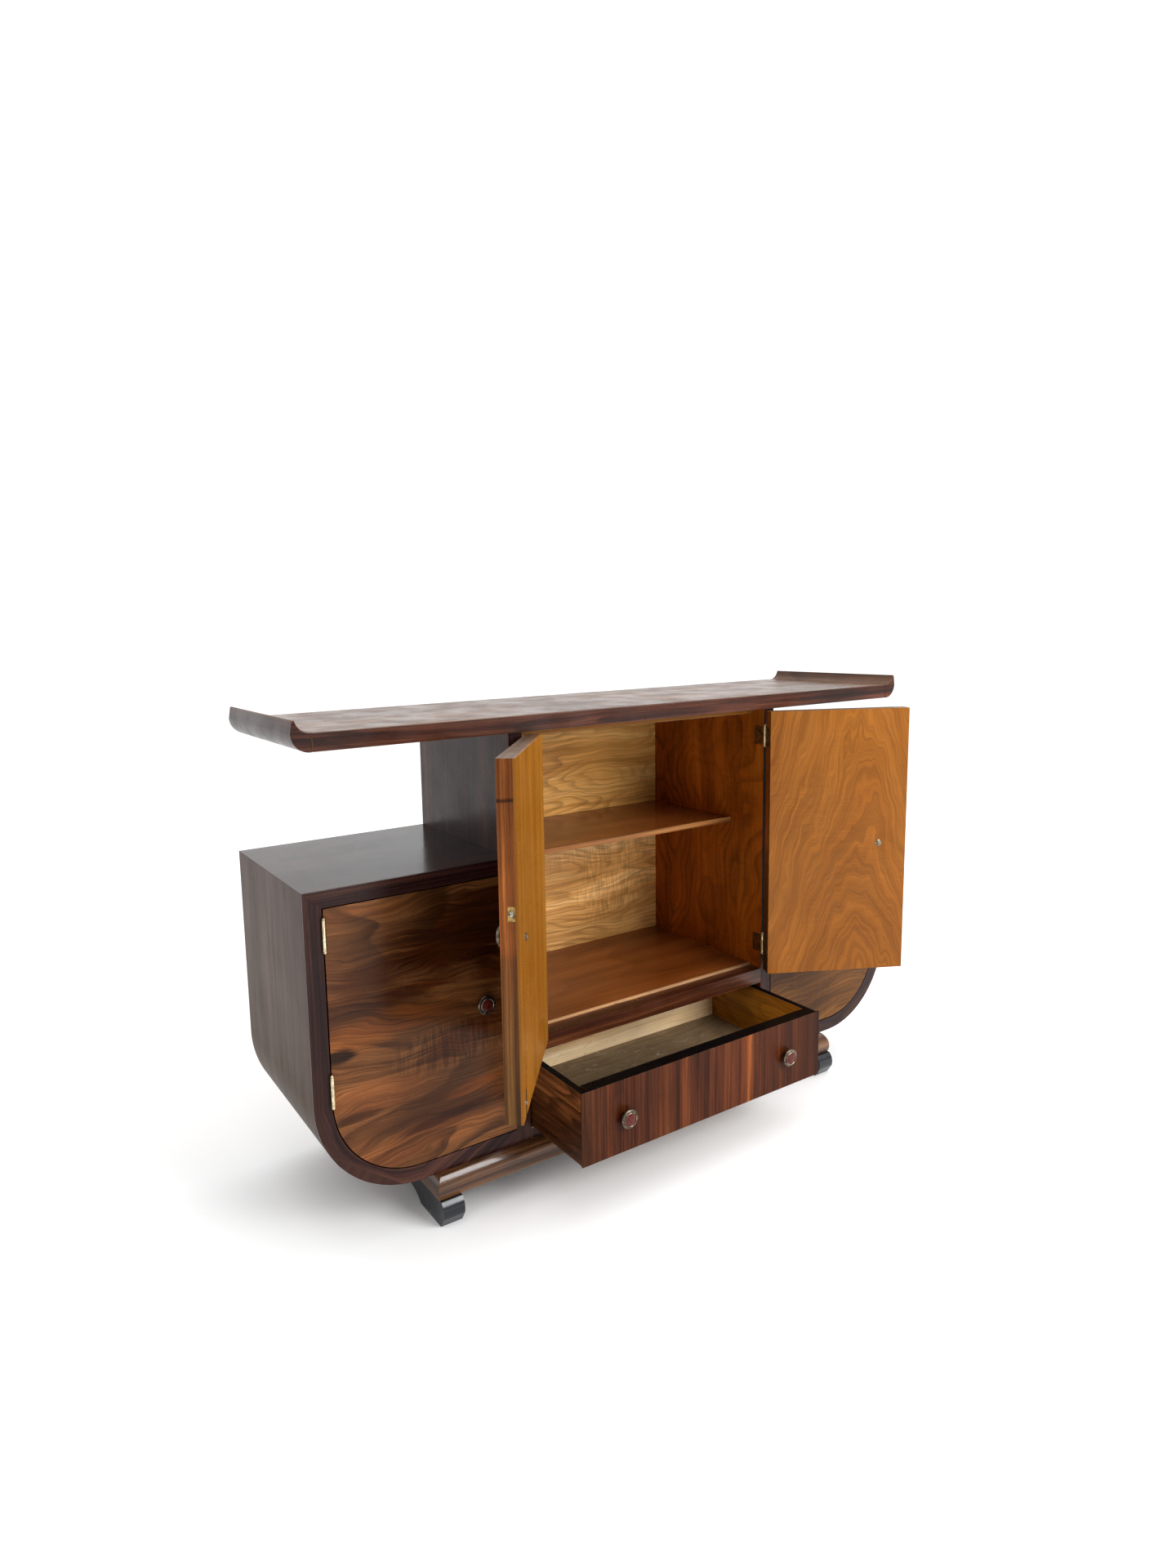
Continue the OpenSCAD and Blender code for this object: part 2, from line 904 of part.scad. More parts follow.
module drawer_bottom() {
    color("tan")
        drawer_place()
            drawer_bottom_shape();
}

module drawer_knobs() {
    color("dimgray")
        drawer_place()
            for (x = [-drawer_knob_x, drawer_knob_x])
                translate([x, 0, drawer_knob_z]) knob(drawer_front_t);
}

top_board();
top_end(-1);  // top_end_left
top_end(1);  // top_end_right
sub_top();
tower_side(-1);  // tower_side_left
tower_side(1);  // tower_side_right
tower_back();
tower_floor();
floor_lip();
tower_rail();
shelf();
shelf_lip();
shelf_pins();
wing_top(-1);  // wing_top_left
wing_top(1);  // wing_top_right
wing_side(-1);  // wing_side_left
wing_side(1);  // wing_side_right
wing_bottom(-1);  // wing_bottom_left
wing_bottom(1);  // wing_bottom_right
wing_edging(-1);  // wing_edging_left
wing_edging(1);  // wing_edging_right
wing_backs();
base_board();
plinth_front();
plinth_return(-1);  // plinth_left
plinth_return(1);  // plinth_right
plinth_rear();
feet();
drawer_runners();
tower_hinge_frame_leaves();
wing_hinge_frame_leaves();
bolt_keeper();
tower_door_left();
tower_lining_left();
tower_hinge_leaves(-1, left_open);  // tower_hinge_leaves_left
tower_knob(-1, left_open);  // tower_knob_left
escutcheon();
lock_case();
lock_bolt();
bolt_plate();
flush_bolt();
tower_door_right();
tower_lining_right();
tower_hinge_leaves(1, right_open);  // tower_hinge_leaves_right
tower_knob(1, right_open);  // tower_knob_right
strike_plate();
wing_door(-1);  // wing_door_left
wing_hinge_leaves(-1);  // wing_hinge_leaves_left
wing_knob(-1);  // wing_knob_left
wing_door(1);  // wing_door_right
wing_hinge_leaves(1);  // wing_hinge_leaves_right
wing_knob(1);  // wing_knob_right
drawer_front();
drawer_side(-1);  // drawer_side_left
drawer_side(1);  // drawer_side_right
drawer_back();
drawer_bottom();
drawer_knobs();
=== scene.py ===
"""A walnut sideboard with a tall cocktail cabinet between two round-cornered cupboards."""

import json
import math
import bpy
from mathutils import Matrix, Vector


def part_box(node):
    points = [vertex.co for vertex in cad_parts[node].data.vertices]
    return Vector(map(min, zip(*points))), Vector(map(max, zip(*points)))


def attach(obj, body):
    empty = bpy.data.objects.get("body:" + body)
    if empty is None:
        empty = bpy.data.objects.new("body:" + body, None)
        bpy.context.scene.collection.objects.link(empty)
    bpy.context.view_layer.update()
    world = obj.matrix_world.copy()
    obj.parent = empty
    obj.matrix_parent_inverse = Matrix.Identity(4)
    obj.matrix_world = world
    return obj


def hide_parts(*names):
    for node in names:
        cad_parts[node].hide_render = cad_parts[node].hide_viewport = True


bl_info = {
    "name": "Cocktail sideboard",
    "version": (1, 0, 0),
    "blender": (4, 5, 0),
    "location": "3D View > Sidebar > Sideboard",
    "description": "Builds a walnut sideboard around its packed frame",
    "category": "Add Mesh",
}

import bpy
from mathutils import Matrix, Vector

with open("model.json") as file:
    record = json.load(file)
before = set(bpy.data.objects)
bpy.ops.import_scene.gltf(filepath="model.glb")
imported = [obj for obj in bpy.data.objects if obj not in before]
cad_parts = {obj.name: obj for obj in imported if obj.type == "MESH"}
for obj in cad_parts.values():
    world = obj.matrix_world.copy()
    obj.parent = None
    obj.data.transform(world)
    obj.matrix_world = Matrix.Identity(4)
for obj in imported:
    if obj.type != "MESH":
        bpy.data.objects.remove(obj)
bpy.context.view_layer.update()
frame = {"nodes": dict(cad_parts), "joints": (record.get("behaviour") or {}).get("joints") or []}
JOINTS = {joint["name"]: joint for joint in frame["joints"]}
MM = 0.001
X, Y, Z = Vector((1, 0, 0)), Vector((0, 1, 0)), Vector((0, 0, 1))
SIDES = {"left": -1, "right": 1}
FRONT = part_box("tower_side_left")[0].y
FACING = 0.9  # a face looks along an axis when its normal has more than this of it
THIN_EDGE = 0.4 * MM
DOOR_GAP_EDGE = 0.7 * MM
WING_SIDE_THICK = 33 * MM
WING_TOP_THICK = 30 * MM
SHARP_ONLY = 50.0


# Settings that a user would change


class SideboardSizes(bpy.types.PropertyGroup):
    arris: bpy.props.FloatProperty(
        name="Board edge", description="Width of the eased edges of boards",
        default=1.2 * MM, min=0.2 * MM, max=3 * MM, unit="LENGTH")
    door_arris: bpy.props.FloatProperty(
        name="Door edge", description="Width of the eased edges of doors",
        default=1.0 * MM, min=0.2 * MM, max=3 * MM, unit="LENGTH")
    metal_arris: bpy.props.FloatProperty(
        name="Metal edge", description="Width of the eased edges of plates and leaves",
        default=0.2 * MM, min=0.05 * MM, max=0.4 * MM, unit="LENGTH")
    arc_steps: bpy.props.IntProperty(
        name="Arc steps", description="Faces in a quarter of a large curve",
        default=32, min=8, max=64)
    lathe_steps: bpy.props.IntProperty(
        name="Lathe steps", description="Faces round a turned piece",
        default=48, min=16, max=96)


class SideboardFinishes(bpy.types.PropertyGroup):
    background: bpy.props.FloatProperty(
        name="Background", description="Brightness of the studio behind the sideboard",
        default=1.15, min=0, max=4)
    foreground: bpy.props.FloatProperty(
        name="Foreground", description="Brightness of the studio in front of the sideboard",
        default=0.42, min=0, max=4)


def sizes():
    return bpy.context.scene.sideboard_sizes


def finishes():
    return bpy.context.scene.sideboard_finishes


# Shader building


class Shader:
    """A material whose nodes are added one after another."""

    def __init__(self, name):
        self.material = bpy.data.materials.new(name)
        self.material.use_nodes = True
        self.tree = self.material.node_tree
        self.tree.nodes.clear()
        output = self.tree.nodes.new("ShaderNodeOutputMaterial")
        self.surface = self.tree.nodes.new("ShaderNodeBsdfPrincipled")
        self.tree.links.new(self.surface.outputs[0], output.inputs[0])

    def feed(self, node, key, value):
        if isinstance(value, bpy.types.NodeSocket):
            self.tree.links.new(value, node.inputs[key])
        elif value is not None:
            node.inputs[key].default_value = value

    def grain(self):
        node = self.tree.nodes.new("ShaderNodeAttribute")
        node.attribute_name = "grain"
        return node.outputs["Vector"]

    def place(self):
        return self.tree.nodes.new("ShaderNodeTexCoord").outputs["Object"]

    def stretch(self, vector, scale, shift=(0, 0, 0)):
        node = self.tree.nodes.new("ShaderNodeMapping")
        self.feed(node, "Vector", vector)
        self.feed(node, "Scale", scale)
        self.feed(node, "Location", shift)
        return node.outputs[0]

    def noise(self, vector, detail=4.0, rough=0.5, distortion=0.0):
        node = self.tree.nodes.new("ShaderNodeTexNoise")
        for key, value in (("Vector", vector), ("Scale", 1.0), ("Detail", detail),
                           ("Roughness", rough), ("Distortion", distortion)):
            self.feed(node, key, value)
        return node.outputs["Fac"]

    def maths(self, operation, a, b=None, clamp=False):
        node = self.tree.nodes.new("ShaderNodeMath")
        node.operation = operation
        node.use_clamp = clamp
        self.feed(node, 0, a)
        self.feed(node, 1, b)
        return node.outputs[0]

    def plus(self, a, b):
        return self.maths("ADD", a, b)

    def minus(self, a, b):
        return self.maths("SUBTRACT", a, b)

    def times(self, a, b):
        return self.maths("MULTIPLY", a, b)

    def swing(self, noise, reach):
        """Noise that swings about nought."""
        return self.times(self.minus(noise, 0.5), reach)

    def round_sum(self, u, v, reach=1.0, width=1.0):
        """The squares of u in reaches and v in widths, added."""
        return self.plus(self.maths("POWER", self.maths("DIVIDE", u, reach), 2.0),
                         self.maths("POWER", self.maths("DIVIDE", v, width), 2.0))

    def ease(self, value, low, high, to_low=0.0, to_high=1.0):
        node = self.tree.nodes.new("ShaderNodeMapRange")
        node.interpolation_type = "SMOOTHSTEP"
        for key, item in (("Value", value), ("From Min", low), ("From Max", high),
                          ("To Min", to_low), ("To Max", to_high)):
            self.feed(node, key, item)
        return node.outputs["Result"]

    def ramp(self, value, stops):
        node = self.tree.nodes.new("ShaderNodeValToRGB")
        self.feed(node, "Fac", value)
        elements = node.color_ramp.elements
        while len(elements) < len(stops):
            elements.new(0.5)
        for element, (position, colour) in zip(elements, stops):
            element.position = position
            element.color = (*colour[:3], 1)
        return node.outputs["Color"]

    def mix(self, share, a, b, blend="MIX"):
        node = self.tree.nodes.new("ShaderNodeMix")
        node.data_type = "RGBA"
        node.blend_type = blend
        for index, value in ((0, share), (6, a), (7, b)):
            if isinstance(value, tuple):
                value = (*value[:3], 1)
            self.feed(node, index, value)
        return node.outputs[2]

    def lit(self, colour, level):
        """The colour, made lighter or darker by a grey level."""
        return self.mix(1.0, colour, self.joined(level, level, level), "MULTIPLY")

    def split(self, vector):
        node = self.tree.nodes.new("ShaderNodeSeparateXYZ")
        self.feed(node, 0, vector)
        return node.outputs

    def joined(self, x, y, z):
        node = self.tree.nodes.new("ShaderNodeCombineXYZ")
        for index, value in enumerate((x, y, z)):
            self.feed(node, index, value)
        return node.outputs[0]

    def bump(self, height, distance, strength=1.0, below=None):
        node = self.tree.nodes.new("ShaderNodeBump")
        self.feed(node, "Height", height)
        self.feed(node, "Distance", distance)
        self.feed(node, "Strength", strength)
        self.feed(node, "Normal", below)
        return node.outputs[0]

    def finish(self, colour, roughness, normal=None, metallic=0.0, coat=0.0, coat_rough=0.1,
               specular=0.5):
        for key, value in (("Base Color", colour), ("Roughness", roughness),
                           ("Normal", normal), ("Metallic", metallic),
                           ("Coat Weight", coat), ("Coat Roughness", coat_rough),
                           ("Specular IOR Level", specular)):
            if isinstance(value, tuple):
                value = (*value[:3], 1)
            self.feed(self.surface, key, value)
        return self.material


def tone(colour, factor):
    return tuple(min(1.0, channel * factor) for channel in colour)


def bent_grain(s, grain, wander, lesser, flow, wobble, chevron, chevron_centre):
    """The grain with its fibres bent, and folded to a V where there is a chevron."""
    along, across, depth = s.split(grain)
    if chevron:
        fold = s.plus(s.maths("POWER", s.minus(across, chevron_centre), 2.0), 0.0020)
        across = s.plus(s.times(s.maths("SQRT", fold), chevron), s.times(along, 0.22))
    bend = s.plus(s.swing(wander, 2 * flow), s.swing(lesser, flow * wobble))
    return s.joined(along, s.plus(across, bend), depth)


def tinted(s, colour, here, span, tints):
    """Tints the colour by how far a place lies from the span's low end to its high end; on the wing
    sides the tint is a painted reflection.
    """
    low, high = span
    position = s.maths("DIVIDE", s.minus(here, low), high - low, clamp=True)
    stops = [(at, tuple(channel / 2 for channel in item)) for at, item in tints]
    tint = s.mix(1.0, s.ramp(position, stops), (2.0, 2.0, 2.0), "MULTIPLY")
    return s.mix(1.0, colour, tint, "MULTIPLY")


def pooled_figure_and_shade(s, colour, grain, streak, wander, pools):
    """Puts in pools of darker or lighter colour with ragged edges: the wood's figure, and on the
    left wing door also painted shadow.
    """
    along, across, depth = s.split(grain)
    for place_along, place_across, reach, width, tilt, tint in pools:
        u = s.minus(along, place_along)
        v = s.minus(s.minus(across, place_across), s.times(u, tilt))
        away = s.maths("SQRT", s.round_sum(u, v, reach, width))
        away = s.plus(s.plus(away, s.swing(streak, 1.1)), s.swing(wander, 1.6))
        colour = s.mix(s.ease(away, 0.55, 1.15, 1.0, 0.0), colour, tint, "MULTIPLY")
    return colour


def ringed(s, colour, grain, bent, streak, count, depth, size, dark):
    """Draws growth rings as the contours of a slow noise, faint in places."""
    contour = s.noise(s.stretch(bent, (size[0], size[1], size[1] * 0.5), (5, 2, 9)), 1.5, 0.4)
    saw = s.maths("FRACT", s.times(contour, count))
    line = s.times(s.ease(saw, 0.35, 0.92), s.ease(saw, 0.92, 1.0, 1.0, 0.0))
    patch = s.noise(s.stretch(grain, (3.0, 5.0, 5.0), (8, 8, 8)), 2.0)
    line = s.times(line, s.times(s.ease(patch, 0.35, 0.65, 0.35, 1.0), depth))
    line = s.times(line, s.ease(streak, 0.3, 0.6, 0.6, 1.0))
    return s.mix(line, colour, dark)


def rippled(s, colour, grain, strength, place):
    """Adds curl across the grain, at one place or in patches."""
    wave = s.noise(s.stretch(grain, (230.0, 26.0, 26.0), (1, 4, 2)), 2.0, 0.5)
    wave = s.ease(wave, 0.42, 0.6, -1.0, 1.0)
    if place:
        place_along, place_across, reach, width = place
        along, across, depth = s.split(grain)
        where = s.round_sum(s.minus(along, place_along), s.minus(across, place_across),
                            reach, width)
        where = s.ease(where, 0.4, 1.1, 1.0, 0.0)
    else:
        where = s.ease(s.noise(s.stretch(grain, (5.0, 8.0, 8.0), (1, 4, 2)), 2.0), 0.45, 0.65)
    return s.lit(colour, s.plus(s.times(s.times(wave, where), strength), 1.0))


def wood(name, tones, flow=0.03, wobble=0.3, bands=24.0, contrast=0.5, rings=0.0,
         ring_depth=0.3, ring_size=(2.0, 6.0), ripple=0.0, ripple_at=None, tints=(),
         tint_span=(0, 1), tint_on=1, pools=(), lines=0.22, pores=0.35, rough=0.3, gloss=0.25,
         coat=0.0, blotch=0.25, waviness=1.0, relief=1.0, dulling=1.0, chevron=0.0,
         chevron_centre=0.0, scuffs=0.0, scuff_tone=(0.5, 0.45, 0.38)):
    """Polished wood. Its grain attribute is metres along the grain, across it and into it."""
    s = Shader(name)
    grain = s.grain()
    lesser = s.noise(s.stretch(grain, (9.0, 26.0, 26.0), (3, 7, 1)), 2.0)
    wander = s.noise(s.stretch(grain, (2.4, 6.0, 6.0)), 3.0)
    bent = bent_grain(s, grain, wander, lesser, flow, wobble, chevron, chevron_centre)
    band = s.noise(s.stretch(bent, (1.1, bands, bands * 0.4)), 4.0, 0.55)
    streak = s.noise(s.stretch(bent, (4.0, 170.0, 68.0)), 5.0, 0.62)
    fibre = s.noise(s.stretch(bent, (26.0, 1500.0, 700.0)), 2.0, 0.6)
    streak_share = contrast * 0.45
    body = s.plus(s.times(band, 1.0 - streak_share), s.times(streak, streak_share))
    body = s.plus(body, s.swing(fibre, 0.45 * lines))
    spread = 0.5 / (1 + 2 * contrast)
    count = len(tones) - 1
    colour = s.ramp(s.ease(body, 0.5 - spread, 0.5 + spread),
                    [(index / count, item) for index, item in enumerate(tones)])
    thread = s.noise(s.stretch(bent, (3.0, 240.0, 110.0), (7, 5, 3)), 4.0, 0.65)
    colour = s.lit(colour, s.ease(thread, 0.38, 0.62, 1.0 - lines, 1.0 + 0.6 * lines))
    if tints:
        here = s.plus(s.split(grain)[tint_on], s.swing(lesser, 0.006))
        colour = tinted(s, colour, here, tint_span, tints)
    if pools:
        colour = pooled_figure_and_shade(s, colour, grain, streak, wander, pools)
    if rings:
        colour = ringed(s, colour, grain, bent, streak, rings, ring_depth, ring_size,
                        tone(tones[0], 0.4))
    if ripple:
        colour = rippled(s, colour, grain, ripple, ripple_at)
    cloud = s.noise(s.stretch(grain, (3.2, 4.4, 4.4), (6, 1, 3)), 3.0)
    colour = s.lit(colour, s.ease(cloud, 0.3, 0.7, 1.0 - blotch, 1.0 + blotch))
    hole = s.ease(s.noise(s.stretch(bent, (60.0, 1900.0, 900.0), (2, 2, 2)), 1.0), 0.60, 0.72)
    colour = s.mix(s.times(hole, pores), colour, tone(tones[0], 0.45))
    if scuffs:
        rub = s.noise(s.stretch(grain, (22.0, 34.0, 30.0), (9, 3, 5)), 6.0, 0.72, 1.5)
        colour = s.mix(s.ease(rub, 0.56, 0.70, 0.0, scuffs), colour, scuff_tone)
    wear = s.noise(s.stretch(grain, (14.0, 14.0, 14.0), (4, 4, 4)), 4.0, 0.6)
    roughness = s.ease(wear, 0.3, 0.75, rough * (1 - 0.25 * dulling), rough * (1 + 0.35 * dulling))
    swell = s.noise(s.stretch(grain, (7.0, 11.0, 11.0)), 1.0)
    normal = s.bump(swell, 0.0006, 0.35 * waviness)
    normal = s.bump(s.minus(fibre, hole), 0.00004, 0.5 * relief, normal)
    return s.finish(colour, roughness, normal, coat=coat, coat_rough=0.12, specular=gloss)


def plain_metal(name, colour, dark, rough):
    """Metal that is dulled in patches and bright where it is rubbed."""
    s = Shader(name)
    place = s.place()
    patch = s.noise(s.stretch(place, (120.0,) * 3), 5.0, 0.6)
    speck = s.noise(s.stretch(place, (1080.0,) * 3), 2.0, 0.5)
    scratch = s.noise(s.stretch(place, (480.0,) * 3), 2.0)
    shade = s.mix(s.ease(patch, 0.35, 0.65), colour, dark)
    shade = s.mix(s.ease(speck, 0.58, 0.72, 0.0, 0.5), shade, tone(dark, 0.4))
    normal = s.bump(s.plus(speck, scratch), 0.00004, 0.4)
    return s.finish(shade, s.ease(patch, 0.3, 0.7, rough * 0.7, rough * 1.6), normal, metallic=1.0)


def lacquer(name, colour, worn, rough):
    """Painted or lacquered wood with scuffs that show the layer below."""
    s = Shader(name)
    place = s.place()
    patch = s.noise(s.stretch(place, (38.0, 38.0, 60.0)), 6.0, 0.65)
    fine = s.noise(s.stretch(place, (260.0,) * 3), 3.0, 0.6)
    near_floor = s.ease(s.split(place)[2], 0.0, 0.02, 0.12, 0.0)
    scuff = s.ease(s.plus(patch, near_floor), 0.66, 0.74, 0.0, 0.3)
    shade = s.mix(scuff, s.mix(fine, tone(colour, 0.7), tone(colour, 1.3)), worn)
    normal = s.bump(s.minus(fine, s.times(scuff, 2.0)), 0.0001, 0.4)
    return s.finish(shade, s.ease(patch, 0.3, 0.7, rough * 0.8, rough * 1.4), normal)


def enamel(name, colour):
    """Glossy coloured inset with a fine crackle, without any pattern."""
    s = Shader(name)
    place = s.place()
    cloud = s.noise(s.stretch(place, (180.0,) * 3), 4.0, 0.6)
    crack = s.noise(s.stretch(place, (700.0,) * 3), 3.0, 0.6)
    shade = s.ramp(cloud, [(0.3, tone(colour, 0.45)), (0.55, colour), (0.75, tone(colour, 1.6))])
    normal = s.bump(crack, 0.00005, 0.4)
    return s.finish(shade, s.ease(cloud, 0.3, 0.7, 0.2, 0.4), normal, specular=0.2)


# Finishes, made once and kept by name

